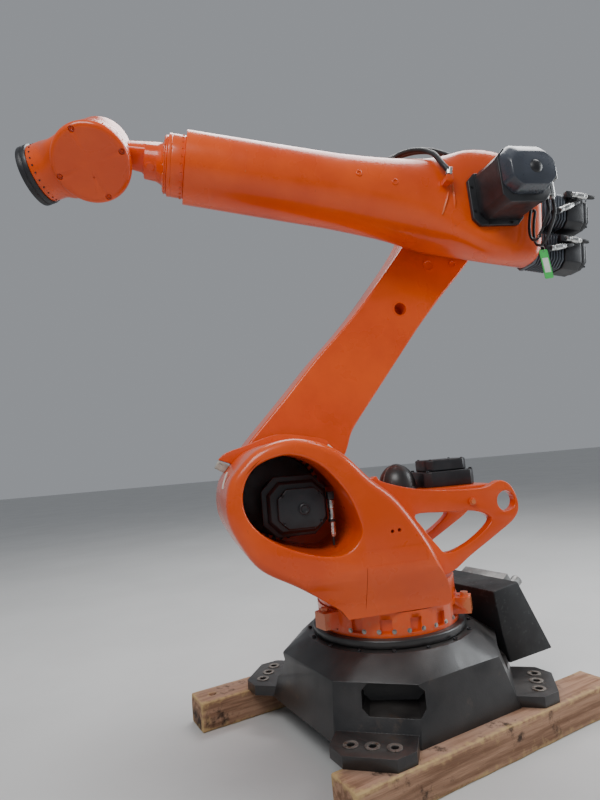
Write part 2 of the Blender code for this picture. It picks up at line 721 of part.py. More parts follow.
# Outlines on the column's side. Up to 1 a share counts from the first axis and the ring's top to the
# shoulder, and what is past 1 is a share of the drum's own reach beyond the shoulder.
COLUMN_CURVE_SHARES = [
    (0.66, 0.088), (0.79, 0.175), (1.046, 0.32), (1.574, 0.486), (1.858, 0.703), (2, 0.898),
    (1.975, 1.252), (1.812, 1.559), (1.442, 1.896), (0.926, 2.001), (0.589, 1.749), (0.326, 1.229),
    (0.091, 0.911), (-0.149, 0.568), (-0.274, 0.298), (-0.34, 0.124),
]
COLUMN_FOOT_SHARES = [
    (-0.37, 0.008), (0.6, 0.008),
]
OPENING_SHARES = [
    (1.771, 1.07), (1.68, 1.415), (1.462, 1.636), (1.036, 1.729), (0.771, 1.524), (0.574, 1.07),
    (0.48, 0.83), (0.46, 0.67), (0.58, 0.551), (0.754, 0.533), (1.005, 0.597), (1.426, 0.714),
    (1.695, 0.865),
]
PLATE_CURVE_SHARES = [
    (0.2, 1.233), (0.14, 1.116), (-0.163, 0.971), (-0.48, 0.934), (-0.857, 0.922), (-1.034, 0.973),
    (-1.15, 0.9), (-1.194, 0.737), (-1.131, 0.624), (-0.917, 0.502), (-0.637, 0.356), (-0.483, 0.263),
    (-0.35, 0.216),
]
PLATE_OPENING_SHARES = [
    (-0.14, 0.754), (-0.43, 0.748), (-0.734, 0.73), (-0.89, 0.657), (-0.831, 0.573), (-0.626, 0.456),
    (-0.411, 0.403), (-0.309, 0.491), (-0.2, 0.635),
]
PLATE_HOLE_SHARES = [(-1.069, 0.789)]

# The rib over the drum's top and the buffer at its rear end, as reaches round the shoulder
STOP_RIB_DEG = (44.8, 60.8, 77.7, 92.0, 105.3, 121.7, 135.8, 142.3, 145.0)
STOP_RIB_SHARES = (1.157, 1.117, 1.0, 0.985, 1.027, 1.071, 1.157, 1.31, 1.371, 1.218)
REAR_STOP_DEG = (142.9, 148.3, 149.9, 145.0)
REAR_STOP_SHARES = (1.338, 1.365, 1.305, 1.218)
PLATE_ROOT_SHARES = [
    (0, 0.27), (0.5, 0.307), (0.6, 1),
]


def on_column(shares):
    """Turn shares of the column's reach and height into a side outline."""
    return [
        (min(x, 1) * SHOULDER_FORWARD + max(x - 1, 0) * DRUM_FRONT,
         RING_TOP + min(z, 1) * COLUMN_TALL + max(z - 1, 0) * DRUM_RISE) for x, z in shares
    ]


def round_shoulder(reach, angle_deg):
    """A point on the column's side at a reach and angle from the shoulder."""
    angle = math.radians(angle_deg)
    return (SHOULDER_FORWARD + reach * math.cos(angle), SHOULDER_HEIGHT + reach * math.sin(angle))


def column_outline():
    """Teardrop outline of the column's sides."""
    return curve_through(on_column(COLUMN_CURVE_SHARES), 2) + on_column(COLUMN_FOOT_SHARES)


def stop_rib():
    """Outline of the rib that stands over the drum's top, between the two buffers."""
    half = FRONT_STOP_THICKNESS * HALF
    reaches = [DRUM_FRONT * share for share in STOP_RIB_SHARES]
    tip, root = (
        FRONT_STOP_DEG + math.degrees(math.asin(half / reach)) for reach in (reaches[0], FRONT_STOP_ROOT)
    )
    outer = [round_shoulder(reach, angle) for reach, angle in zip(reaches, (tip, *STOP_RIB_DEG))]
    return outer + arc((SHOULDER_FORWARD, SHOULDER_HEIGHT), FRONT_STOP_ROOT, STOP_RIB_DEG[-1], root, 10)


def column_casting():
    """Column: a teardrop drum with an open near side, a rib over its top, on its round neck."""
    casting = prism("column_casting", column_outline(), COLUMN_FAR, COLUMN_NEAR, "Y", ORANGE, COLUMN)
    bevel(casting, COLUMN_EDGE, 2, 60)
    high = RING_TOP + UNDERCUT_RISE
    undercut = [
        (RING_RADIUS - SEAT, RING_TOP - OVERRUN), (COLUMN_NEAR + OVERRUN, RING_TOP - OVERRUN),
        (COLUMN_NEAR + OVERRUN, high), (COLUMN_NEAR - COLUMN_EDGE * HALF, high),
    ]
    wedge = prism("column_undercut", undercut, -SHOULDER_FORWARD, SHOULDER_FORWARD * 2, "X", None, COLUMN)
    boolean(casting, wedge, "DIFFERENCE")
    neck = bmesh.new()
    add_turned(neck, drum(NECK_RADIUS, RING_TOP + SEAT, RING_TOP + NECK_HEIGHT), (0, 0, 0), "Z")
    boolean(casting, finish("column_neck", neck, None, COLUMN), "UNION")
    reaches = (FIN_ROOT, FIN_REACH, FIN_ROOT)
    fin = [round_shoulder(reach, angle) for reach, angle in zip(reaches, FIN_DEG)]
    fin = prism("column_fin", fin, FRONT_STOP_FAR, FRONT_STOP_NEAR, "Y", None, COLUMN)
    boolean(casting, fin, "UNION")
    rib = prism("column_rib", stop_rib(), FRONT_STOP_FAR, FRONT_STOP_NEAR, "Y", None, COLUMN)
    boolean(casting, rib, "UNION")
    opening = closed_curve(on_column(OPENING_SHARES), 2)
    floor = COLUMN_NEAR - OPENING_DEPTH
    cutter = prism("column_opening", opening, floor, COLUMN_NEAR + OVERRUN, "Y", None, COLUMN)
    boolean(casting, cutter, "DIFFERENCE")
    chamber = drum(CHAMBER_RADIUS, floor, COLUMN_NEAR - RIM_THICKNESS)
    cutter = turned("column_chamber", chamber, (SHOULDER_FORWARD, 0, SHOULDER_HEIGHT), "Y", None, COLUMN)
    boolean(casting, cutter, "DIFFERENCE")


def stops():
    """Two rubber buffers, at the front and rear ends of the column's rib, that end the link's swing."""
    along = math.radians(FRONT_STOP_DEG)
    out = Vector((math.cos(along), math.sin(along)))
    aside = Vector((-out.y, out.x)) * (FRONT_STOP_THICKNESS * HALF)
    root = Vector(round_shoulder(FRONT_STOP_ROOT, FRONT_STOP_DEG))
    tip = Vector(round_shoulder(FRONT_STOP_REACH, FRONT_STOP_DEG))
    front = [tuple(p) for p in (root - aside, tip - aside, tip + aside, root + aside)]
    rear = [
        round_shoulder(DRUM_FRONT * share, angle) for share, angle in zip(REAR_STOP_SHARES, REAR_STOP_DEG)
    ]
    for name, outline in (("front_stop_buffer", front), ("rear_stop_buffer", rear)):
        block = prism(name, outline, FRONT_STOP_FAR, FRONT_STOP_NEAR, "Y", BUFFER_GREY, COLUMN)
        for part, shape in (("_drum_keep", column_outline()), ("_rib_keep", stop_rib())):
            keep_out = prism(name + part, grown(shape, SEAT), FRONT_STOP_FAR - OVERRUN,
                             FRONT_STOP_NEAR + OVERRUN, "Y", None, COLUMN)
            boolean(block, keep_out, "DIFFERENCE")


def shoulder_drive():
    """Gear flange, motor, motor cover, cap and connector inside the column's opening."""
    floor = COLUMN_NEAR - OPENING_DEPTH
    gear_top = floor + SEAT + GEAR_FLANGE_THICKNESS
    turned("shoulder_gear_flange", drum(GEAR_FLANGE_RADIUS, floor + SEAT, gear_top, RIM),
           (SHOULDER_FORWARD, 0, SHOULDER_HEIGHT), "Y", BLACK_CAST, COLUMN)
    x, z = SHOULDER_FORWARD - MOTOR_ASIDE, SHOULDER_HEIGHT - MOTOR_BELOW
    motor_end = gear_top + SEAT + MOTOR_LENGTH
    cover_end = motor_end + SEAT + COVER_LENGTH
    outline = chamfered(MOTOR_SIDE, MOTOR_SIDE, MOTOR_CHAMFER, (x, z))
    prism("shoulder_motor", outline, gear_top + SEAT, motor_end, "Y", MOTOR_BLACK, COLUMN)
    outline = chamfered(COVER_WIDTH, COVER_HEIGHT, COVER_CHAMFER, (x, z))
    cover = prism("shoulder_motor_cover", outline, motor_end + SEAT, cover_end, "Y", MOTOR_BLACK, COLUMN)
    cap = drum(CAP_RADIUS, cover_end - RIM, cover_end + CAP_LENGTH, RIM * HALF)
    cap = turned("shoulder_cap_shape", cap, (x, 0, z), "Y", None, COLUMN, SMALL_SIDES * 2)
    boolean(cover, cap, "UNION")
    side = x - COVER_WIDTH * HALF - CONNECTOR_RADIUS - SEAT
    low = z - CONNECTOR_BELOW - CONNECTOR_LENGTH * HALF
    turned("shoulder_connector", drum(CONNECTOR_RADIUS, low, low + CONNECTOR_LENGTH, RIM),
           (side, motor_end + COVER_LENGTH * HALF, 0), "Z", PALE_METAL, COLUMN, SMALL_SIDES)


def rear_frame():
    """Two side plates that reach back from the column, with the deck between them and what it carries."""
    outline = curve_through(on_column(PLATE_CURVE_SHARES), 2) + on_column(PLATE_ROOT_SHARES)
    opening = closed_curve(on_column(PLATE_OPENING_SHARES), 2)
    keep_out = grown(column_outline(), SEAT)
    deck_low = DECK_TOP - DECK_THICKNESS
    for name, low in (("rear_plate_near", PLATE_NEAR - PLATE_THICKNESS), ("rear_plate_far", COLUMN_FAR)):
        high = low + PLATE_THICKNESS
        plate = prism(name, outline, low, high, "Y", ORANGE, COLUMN)
        for part, shape in (("_keep", keep_out), ("_gap", opening)):
            cutter = prism(name + part, shape, low - OVERRUN, high + OVERRUN, "Y", None, COLUMN)
            boolean(plate, cutter, "DIFFERENCE")
        hole = bmesh.new()
        x, z = on_column(PLATE_HOLE_SHARES)[0]
        through = drum(PLATE_HOLE_RADIUS, low - OVERRUN, high + OVERRUN)
        add_turned(hole, through, (x, 0, z), "Y", SMALL_SIDES * 2)
        boolean(plate, finish(name + "_hole", hole, None, COLUMN), "DIFFERENCE")
    left = COLUMN_FAR + PLATE_THICKNESS + SEAT
    right = PLATE_NEAR - PLATE_THICKNESS - SEAT
    outline = rectangle(-SHOULDER_FORWARD * DECK_REAR_SHARE, SHOULDER_FORWARD * HALF, left, right)
    deck = prism("rear_deck", outline, deck_low, DECK_TOP, "Z", ORANGE, COLUMN)
    cutter = prism("deck_keep", keep_out, COLUMN_FAR - OVERRUN, COLUMN_NEAR + OVERRUN, "Y", None, COLUMN)
    boolean(deck, cutter, "DIFFERENCE")
    middle = (left + right) * HALF
    motor_low = DECK_TOP + SEAT
    motor_high = motor_low + TURN_MOTOR_HEIGHT
    centre = (-TURN_MOTOR_BACK, middle)
    outline = chamfered(TURN_MOTOR_LONG, TURN_MOTOR_WIDE, MOTOR_CHAMFER, centre)
    prism("turn_motor", outline, motor_low, motor_high, "Z", MOTOR_BLACK, COLUMN)
    share = TURN_COVER_SHARE
    outline = chamfered(TURN_MOTOR_LONG * share, TURN_MOTOR_WIDE * share, MOTOR_CHAMFER, centre)
    cover_low = motor_high + SEAT
    prism("turn_motor_cover", outline, cover_low, motor_high + TURN_COVER_HEIGHT, "Z", MOTOR_BLACK, COLUMN)
    dome = [(0, motor_low)]
    for angle_deg in range(0, 90, 11):
        angle = math.radians(angle_deg)
        dome.append((DOME_RADIUS * math.cos(angle), motor_low + DOME_HEIGHT * math.sin(angle)))
    dome.append((0, motor_low + DOME_HEIGHT))
    turned("balance_dome", dome, (-DOME_BACK, middle, 0), "Z", BLACK_CAST, COLUMN)


# The link's front and rear edges between its two ends, as shares of its length and its head's radius
LINK_FRONT_SHARES = [
    (0.073, -1.06), (0.222, -0.956), (0.393, -0.87), (0.481, -0.77), (0.593, -0.694), (0.815, -0.672),
    (0.911, -0.72),
]
LINK_REAR_SHARES = [
    (0.867, 0.94), (0.807, 0.888), (0.756, 0.85), (0.652, 0.8), (0.296, 0.8), (0.26, 0.825),
    (0.207, 1.006),
]


def link_arm():
    """Box-section link from the shoulder to the elbow, with its hubs and hole."""
    reach = LINK_LENGTH
    front, rear = (
        [(x * reach, z * LINK_HEAD_RADIUS) for x, z in shares]
        for shares in (LINK_FRONT_SHARES, LINK_REAR_SHARES)
    )
    outline = arc((0, 0), LINK_FOOT_RADIUS, 84, 264, 14) + front
    outline += arc((reach, 0), LINK_HEAD_RADIUS, -100, 96, 14) + rear
    link = prism("link_arm", outline, LINK_NEAR - LINK_WIDTH, LINK_NEAR, "Y", ORANGE, LINK)
    bevel(link, LINK_EDGE, 2, 50)
    hole = bmesh.new()
    add_turned(hole, drum(LINK_HOLE_RADIUS, LINK_NEAR - OVERRUN, LINK_NEAR + OVERRUN),
               (reach * LINK_HOLE_SHARE, 0, LINK_HOLE_BACK), "Y", SMALL_SIDES * 2)
    boolean(link, finish("link_hole", hole, None, LINK), "DIFFERENCE")
    hub = drum(SHOULDER_HUB_RADIUS, LINK_NEAR + SEAT, COLUMN_FAR - SEAT)
    turned("link_shoulder_hub", hub, (0, 0, 0), "Y", BLACK_CAST, LINK)
    hub = drum(ELBOW_HUB_RADIUS, LINK_NEAR + SEAT, HOUSING_FAR - SEAT)
    turned("link_elbow_hub", hub, (reach, 0, 0), "Y", BLACK_CAST, LINK)


# Routes of the cords in the forearm's frame, each from its fitting or socket
SOCKET_SIDE = -ELBOW_MOTOR_BACK - ELBOW_MOTOR_WIDTH * HALF - SEAT
SOCKET_PLACE_Y = HOUSING_NEAR + ELBOW_PLATE_THICKNESS + ELBOW_MOTOR_LENGTH + 2 * SEAT - SOCKET_FROM_END


def below_socket(number, drop):
    """A place in the forearm's frame, under the end of one of the elbow drive's sockets."""
    x = SOCKET_SIDE - RIM - SOCKET_PITCH * (number + HALF)
    z = SOCKET_RAISE - SOCKET_LENGTH - SEAT - drop
    tilt = math.radians(ELBOW_TILT_DEG)
    return (
        x * math.cos(tilt) + z * math.sin(tilt), SOCKET_PLACE_Y,
        -ELBOW_DROP - x * math.sin(tilt) + z * math.cos(tilt),
    )


LONG_HOSE_ROUTE = [
    (0.345, -0.060, 0.100), (0.345, -0.060, 0.112), (0.343, -0.060, 0.126), (0.333, -0.056, 0.146),
    (0.310, -0.048, 0.166), (0.270, -0.036, 0.185), (0.225, -0.022, 0.198), (0.180, -0.010, 0.202),
    (0.135, -0.002, 0.197), (0.090, 0.003, 0.186), (0.045, 0.004, 0.175), (0.000, 0.004, 0.170),
    (-0.050, 0.004, 0.170), (-0.080, 0.004, 0.170), (HOSE_BLOCK_FRONT + SEAT, 0.004, 0.170),
]
SHORT_HOSE_ROUTE = [
    (0.325, -0.022, 0.116), (0.325, -0.022, 0.124), (0.325, -0.022, 0.132), (0.319, -0.016, 0.145),
    (0.300, 0.004, 0.155), (0.275, 0.037, 0.154), (0.250, 0.075, 0.140), (0.232, 0.105, 0.120),
    (0.222, 0.135, 0.095), (0.215, 0.157, 0.066), (0.208, 0.177, 0.034), (0.197, 0.188, 0.012),
    (0.190, 0.190, -0.004), (0.190, 0.190, -0.010), (0.190, 0.190, -0.016 + SEAT),
]
FIRST_CABLE_ROUTE = [
    below_socket(0, 0), below_socket(0, 10 * MM), below_socket(0, 20 * MM),
    (-0.131, 0.297, -0.148), (-0.124, 0.288, -0.178), (-0.120, 0.268, -0.212), (-0.123, 0.244, -0.228),
    (-0.123, 0.220, -0.220), (-0.124, 0.204, -0.196), (-0.125, 0.198, -0.166), (-0.127, 0.197, -0.136),
    (-0.130, 0.198, -0.110), (-0.133, 0.196, -0.092), (-0.134, HOUSING_NEAR + 16 * MM, -0.084),
    (-0.134, HOUSING_NEAR + 8 * MM, -0.084), (-0.134, HOUSING_NEAR + SEAT, -0.084),
]
SECOND_CABLE_ROUTE = [
    below_socket(1, 0), below_socket(1, 10 * MM), below_socket(1, 20 * MM),
    (-0.153, 0.298, -0.150), (-0.147, 0.290, -0.190), (-0.144, 0.268, -0.228),
    (-0.144, 0.240, -0.243), (-0.144, 0.214, -0.233), (-0.144, 0.200, -0.206),
    (-0.145, 0.195, -0.172), (-0.147, 0.194, -0.140), (-0.150, 0.195, -0.114), (-0.152, 0.194, -0.097),
    (-0.153, HOUSING_NEAR + 16 * MM, -0.088), (-0.153, HOUSING_NEAR + 8 * MM, -0.088),
    (-0.153, HOUSING_NEAR + SEAT, -0.088),
]


def forearm():
    """Forearm: the cast housing round the elbow, the round tube and the wrist's ring."""
    low_share, rear_share = HOUSING_CORNER_SHARES
    outline = [
        (-HOUSING_REAR, -HOUSING_BOTTOM * low_share), (-HOUSING_REAR * rear_share, -HOUSING_BOTTOM),
        (0, -HOUSING_BOTTOM), (TUBE_START, -TUBE_ROOT_RADIUS - ROLL_AXIS_DROP),
        (TUBE_START, TUBE_ROOT_RADIUS - ROLL_AXIS_DROP), (0, HOUSING_TOP),
        (-HOUSING_REAR, HOUSING_TOP * low_share),
    ]
    housing = prism("forearm_housing", outline, HOUSING_FAR, HOUSING_NEAR, "Y", ORANGE, FOREARM)
    slope = HOUSING_FAR_RISE / (HOUSING_RISE_START - HOUSING_FAR)
    far = HOUSING_FAR - OVERRUN
    under = [
        (HOUSING_RISE_START, -HOUSING_BOTTOM), (HOUSING_RISE_START, -HOUSING_BOTTOM - OVERRUN),
        (far, -HOUSING_BOTTOM - OVERRUN), (far, -HOUSING_BOTTOM + slope * (HOUSING_RISE_START - far)),
    ]
    wedge = prism("housing_under_cutter", under, -HOUSING_REAR - OVERRUN, TUBE_START + OVERRUN, "X", None,
                  FOREARM)
    boolean(housing, wedge, "DIFFERENCE")
    bevel(housing, HOUSING_EDGE, 3, 30)
    block = bmesh.new()
    half = HOSE_BLOCK_SIDE * HALF
    x, y, z = LONG_HOSE_ROUTE[-1]
    add_prism(block, rectangle(x - SEAT - 2 * half, x - SEAT, y - half, y + half), 0, z + half)
    boolean(housing, finish("long_hose_block", block, None, FOREARM), "UNION")
    centre = (0, 0, -ROLL_AXIS_DROP)
    start = TUBE_START + SEAT
    middle = start + (TUBE_MID - start) * HALF
    tube = bmesh.new()
    add_turned(tube, [
        (0, start), (TUBE_ROOT_RADIUS, start), ((TUBE_ROOT_RADIUS + TUBE_MID_RADIUS * 2) / 3, middle),
        (TUBE_MID_RADIUS, TUBE_MID), (TUBE_END_RADIUS, TUBE_END), (0, TUBE_END),
    ], centre, "X")
    for corner in tube.verts:
        corner.co.y = max(corner.co.y, HOUSING_FAR)
    tube = finish("forearm_tube", tube, ORANGE, FOREARM)
    fittings = bmesh.new()
    for route in (LONG_HOSE_ROUTE, SHORT_HOSE_ROUTE):
        x, y, top = route[0]
        add_turned(fittings, drum(FITTING_RADIUS, 0, top - SEAT), (x, y, 0), "Z", SMALL_SIDES)
    x, y, z = SHORT_HOSE_ROUTE[-1]
    add_prism(fittings, rectangle(x - half, x + half, 0, y + half), z - SEAT - 2 * half, z - SEAT)
    boolean(tube, finish("fitting_shapes", fittings, None, FOREARM), "UNION")
    turned("wrist_ring", drum(WRIST_RING_RADIUS, TUBE_END + SEAT, WRIST_RING_END, RIM), centre, "X", ORANGE,
           FOREARM)


def elbow_drive():
    """Tilted plate, motor, end cover and sockets on the near side of the housing."""
    low = HOUSING_NEAR + SEAT
    high = low + ELBOW_PLATE_THICKNESS
    outline = chamfered(ELBOW_PLATE_WIDTH, ELBOW_PLATE_HEIGHT, ELBOW_PLATE_CHAMFER)
    prism("elbow_motor_plate", outline, low, high, "Y", MOTOR_BLACK, ELBOW_DRIVE)
    motor_end = high + SEAT + ELBOW_MOTOR_LENGTH
    centre = (-ELBOW_MOTOR_BACK, ELBOW_MOTOR_RAISE)
    outline = chamfered(ELBOW_MOTOR_WIDTH, ELBOW_MOTOR_HEIGHT, ELBOW_MOTOR_CHAMFER, centre)
    prism("elbow_motor", outline, high + SEAT, motor_end, "Y", MOTOR_BLACK, ELBOW_DRIVE)
    cover_end = motor_end + SEAT + ELBOW_COVER_THICKNESS
    centre = (-ELBOW_COVER_BACK, ELBOW_COVER_RAISE)
    full = chamfered(ELBOW_COVER_WIDTH, ELBOW_COVER_HEIGHT, ELBOW_MOTOR_CHAMFER, centre)
    centre = (-ELBOW_FACE_BACK, ELBOW_FACE_RAISE)
    face = chamfered(ELBOW_FACE_WIDTH, ELBOW_FACE_HEIGHT, ELBOW_MOTOR_CHAMFER, centre)
    cover = bmesh.new()
    add_rings(cover, (full, full, face), (motor_end + SEAT, motor_end + RIM, cover_end))
    cover = finish("elbow_motor_cover", cover, MOTOR_BLACK, ELBOW_DRIVE)
    cap = drum(ELBOW_CAP_RADIUS, cover_end - RIM, cover_end + CAP_LENGTH, RIM * HALF)
    place = (-ELBOW_CAP_BACK, 0, ELBOW_CAP_RAISE)
    cap = turned("elbow_cap_shape", cap, place, "Y", None, ELBOW_DRIVE, SMALL_SIDES * 2)
    boolean(cover, cap, "UNION")

    reach = 2 * SOCKET_PITCH + RIM
    sockets = bmesh.new()
    half = SOCKET_BLOCK_WIDTH * HALF
    outline = rectangle(SOCKET_SIDE - reach, SOCKET_SIDE, SOCKET_PLACE_Y - half, SOCKET_PLACE_Y + half)
    add_prism(sockets, outline, SOCKET_RAISE - SOCKET_BLOCK_HEIGHT, SOCKET_RAISE)
    sockets = finish("elbow_sockets", sockets, PALE_METAL, ELBOW_DRIVE)
    shells = bmesh.new()
    for number in range(2):
        place = (SOCKET_SIDE - RIM - SOCKET_PITCH * (number + HALF), SOCKET_PLACE_Y, 0)
        shell = drum(SOCKET_RADIUS, SOCKET_RAISE - SOCKET_LENGTH, SOCKET_RAISE - RIM)
        add_turned(shells, shell, place, "Z", SMALL_SIDES)
    boolean(sockets, finish("elbow_socket_shells", shells, None, ELBOW_DRIVE), "UNION")


def wrist_drives():
    """Three motors on the housing's rear face, two of them with sockets on their near side."""
    start = -HOUSING_REAR - SEAT
    upper = (UPPER_SOCKET_STARTS, UPPER_SOCKET_RAISES, UPPER_SOCKET_TILTS_DEG)
    lower = (LOWER_SOCKET_STARTS, LOWER_SOCKET_RAISES, LOWER_SOCKET_TILTS_DEG)
    rows = (
        (WRIST_MOTOR_PITCH * HALF, -UPPER_MOTOR_DROP, "upper", upper),
        (-WRIST_MOTOR_PITCH * HALF, -UPPER_MOTOR_DROP, None, None),
        (LOWER_MOTOR_SIDE, -LOWER_MOTOR_DROP, "lower", lower),
    )
    radius = WRIST_SOCKET_RADIUS
    for number, (y, z, row, places) in enumerate(rows, start=1):
        outline = chamfered(WRIST_MOTOR_WIDE, WRIST_MOTOR_SIDE, WRIST_MOTOR_CHAMFER, (y, z))
        prism(f"wrist_motor_{number}", outline, start - WRIST_MOTOR_LENGTH, start, "X", MOTOR_BLACK, FOREARM)
        if row is None:
            continue
        side = y + WRIST_MOTOR_WIDE * HALF + SEAT
        (rear, front), (high, low), _ = places
        front_x, rear_x = start - front, start - rear
        high_z, low_z = z + high, z + low
        outline = [
            (front_x + radius, low_z - radius), (front_x + radius, low_z + radius),
            (rear_x + radius, high_z + radius), (rear_x - radius, high_z + radius),
            (rear_x - radius, high_z - radius), (front_x - radius, low_z - radius),
        ]
        strip = prism(f"{row}_wrist_sockets", outline, side, side + SOCKET_STRIP_THICKNESS, "Y", PALE_METAL,
                      FOREARM)
        shells = bmesh.new()
        for back, raised, tilt in zip(*places):
            fresh = len(shells.verts)
            add_turned(shells, drum(radius, -WRIST_SOCKET_LENGTH, 0), (0, 0, 0), "X", SMALL_SIDES)
            shells.verts.ensure_lookup_table()
            place = (start - back, side + radius + RIM * HALF, z + raised)
            lay = Matrix.Translation(place) @ Matrix.Rotation(math.radians(tilt), 4, "Y")
            bmesh.ops.transform(shells, matrix=lay, verts=shells.verts[fresh:])
        boolean(strip, finish(f"{row}_wrist_socket_shells", shells, None, FOREARM), "UNION")


def cables():
    """Two hoses over the forearm's top, two looping cables under the elbow motor, and their tag."""
    flexible("long_hose", LONG_HOSE_ROUTE, HOSE_RADIUS, CABLE_BLACK, FOREARM)
    flexible("short_hose", SHORT_HOSE_ROUTE, SHORT_HOSE_RADIUS, CABLE_BLACK, FOREARM)
    flexible("elbow_cable_1", FIRST_CABLE_ROUTE, CABLE_RADIUS, CABLE_BLACK, FOREARM)
    flexible("elbow_cable_2", SECOND_CABLE_ROUTE, CABLE_RADIUS, CABLE_BLACK, FOREARM)
    lowest = min(SECOND_CABLE_ROUTE, key=lambda place: place[2])
    tag = bmesh.new()
    half = TAG_WIDTH * HALF
    wire = TAG_THICKNESS
    end = TAG_WIRE + TAG_LENGTH
    outline = [
        (-half, -TAG_WIRE), (-half, -end), (half, -end), (half, -TAG_WIRE),
        (wire, -TAG_WIRE), (wire, 0), (-wire, 0), (-wire, -TAG_WIRE),
    ]
    add_prism(tag, outline, -TAG_THICKNESS * HALF, TAG_THICKNESS * HALF, "Y")
    place = Vector((lowest[0], lowest[1], lowest[2] - CABLE_RADIUS - SEAT))
    lay = Matrix.Translation(place) @ Matrix.Rotation(math.radians(TAG_TURN_DEG), 4, "Y")
    bmesh.ops.transform(tag, matrix=lay, verts=tag.verts)
    finish("hanging_tag", tag, TAG_GREEN, FOREARM)


def wrist():
    """Rolling neck and fork, the bending head with its cover, and the tool flange."""
    to_head = FOREARM_LENGTH - WRIST_RING_END
    flange = drum(NECK_FLANGE_RADIUS, SEAT, NECK_FLANGE_LENGTH, RIM)
    fork = turned("wrist_fork", flange, (0, 0, 0), "X", ORANGE, ROLL)
    wide = WRIST_NECK_RADIUS
    shapes = []
    shape = bmesh.new()
    add_turned(shape, drum(wide, RIM, to_head - HEAD_RADIUS - FORK_CLEAR), (0, 0, 0), "X")
    shapes.append(shape)
    shape = bmesh.new()
    root, tip = (wide * share for share in FORK_ARM_SHARES)
    arm = [(FORK_ARM_START, -root), (to_head - tip, -tip), (to_head - tip, tip), (FORK_ARM_START, root)]
    add_prism(shape, arm, FORK_FAR + OVERRUN, FORK_NEAR - RIM, "Y")
    shapes.append(shape)
    shape = bmesh.new()
    add_turned(shape, drum(FORK_RADIUS, FORK_FAR, FORK_NEAR), (to_head, 0, 0), "Y")
    shapes.append(shape)
    for number, shape in enumerate(shapes, start=1):
        boolean(fork, finish(f"fork_shape_{number}", shape, None, ROLL), "UNION")

    head = turned("wrist_head", drum(HEAD_RADIUS, FORK_NEAR + SEAT, HEAD_NEAR), (0, 0, 0), "Y", ORANGE, HEAD)
    face = WRIST_TO_FLANGE - FLANGE_THICKNESS - SEAT
    nose = bmesh.new()
    add_turned(nose, drum(NOSE_RADIUS, NOSE_START, face), (0, 0, 0), "X")
    boolean(head, finish("nose_ring_shape", nose, None, HEAD), "UNION")
    nose = bmesh.new()
    wide = NOSE_RADIUS * NOSE_WIDTH_SHARE
    add_prism(nose, rectangle(HEAD_RADIUS * HALF, face - RIM, -wide, wide), FORK_NEAR + NOSE_GAP, wide, "Y")
    boolean(head, finish("nose_block_shape", nose, None, HEAD), "UNION")
    disc = drum(COVER_RADIUS, HEAD_NEAR + SEAT, HEAD_NEAR + COVER_THICKNESS, RIM)
    turned("wrist_cover", disc, (0, 0, 0), "Y", ORANGE, HEAD)
    turned("tool_flange", drum(FLANGE_RADIUS, -FLANGE_THICKNESS, 0, RIM), (0, 0, 0), "X", MOTOR_BLACK, TOOL)


bearers()
base_casting()
connection_box()
turning_ring()
column_casting()
stops()
shoulder_drive()
rear_frame()
link_arm()
forearm()
elbow_drive()
wrist_drives()
cables()
wrist()
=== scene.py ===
"""Dresses the parked six-axis robot arm round its CAD frame.

Lengths are metres in the frame of the CAD: +X is the arm's own front, +Y its left side, +Z up.
"""
import json
import math

import bmesh
import bpy
from mathutils import Matrix, Vector, noise

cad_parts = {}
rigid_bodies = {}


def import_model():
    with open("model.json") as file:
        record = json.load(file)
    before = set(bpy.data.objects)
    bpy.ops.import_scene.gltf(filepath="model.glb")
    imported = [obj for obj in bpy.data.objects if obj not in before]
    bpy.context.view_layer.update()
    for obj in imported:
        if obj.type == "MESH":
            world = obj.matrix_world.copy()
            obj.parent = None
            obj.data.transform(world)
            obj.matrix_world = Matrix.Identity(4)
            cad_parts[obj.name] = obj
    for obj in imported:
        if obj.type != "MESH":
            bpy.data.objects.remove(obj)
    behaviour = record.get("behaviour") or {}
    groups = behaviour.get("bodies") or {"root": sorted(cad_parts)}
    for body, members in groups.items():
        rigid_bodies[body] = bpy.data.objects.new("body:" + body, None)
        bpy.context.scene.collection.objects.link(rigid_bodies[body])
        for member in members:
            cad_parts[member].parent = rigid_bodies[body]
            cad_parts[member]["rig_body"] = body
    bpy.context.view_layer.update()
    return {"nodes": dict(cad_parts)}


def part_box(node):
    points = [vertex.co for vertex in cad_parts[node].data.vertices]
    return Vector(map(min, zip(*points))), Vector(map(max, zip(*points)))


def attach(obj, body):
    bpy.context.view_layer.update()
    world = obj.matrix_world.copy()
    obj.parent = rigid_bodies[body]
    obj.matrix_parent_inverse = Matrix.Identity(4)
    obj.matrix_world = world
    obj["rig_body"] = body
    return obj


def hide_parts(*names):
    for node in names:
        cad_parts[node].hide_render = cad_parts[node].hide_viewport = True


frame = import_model()

MM = 0.001
TURN = 2 * math.pi


def turn(axis, degrees):
    """Rotation about one axis."""
    return Matrix.Rotation(math.radians(degrees), 4, axis)


def shift(x, y, z):
    """Plain move."""
    return Matrix.Translation((x, y, z))


def polar(radius, degrees, centre=(0, 0)):
    """Point at an angle on a circle."""
    angle = math.radians(degrees)
    return (centre[0] + radius * math.cos(angle), centre[1] + radius * math.sin(angle))


def arc(radius, degrees, centre=(0, 0)):
    """Points on a circle, one at each angle."""
    return [polar(radius, angle, centre) for angle in degrees]


# Lengths and angles of the arm as it is parked
BASE_TURN_DEG = 15.3
SHOULDER = Vector((0.35, 0, 0.675))
LINK_LENGTH = 1.35
LINK_LEAN_DEG = -129
ELBOW_DEG = 121.5
TUBE_DROP = 0.041
ROLL_START = 1.152
ROLL_DEG = -44.1
BEND_START = 0.231
BEND_DEG = 27.8
FLANGE_START = 0.237
DRIVE_DROP = 0.069
DRIVE_TILT_DEG = 10

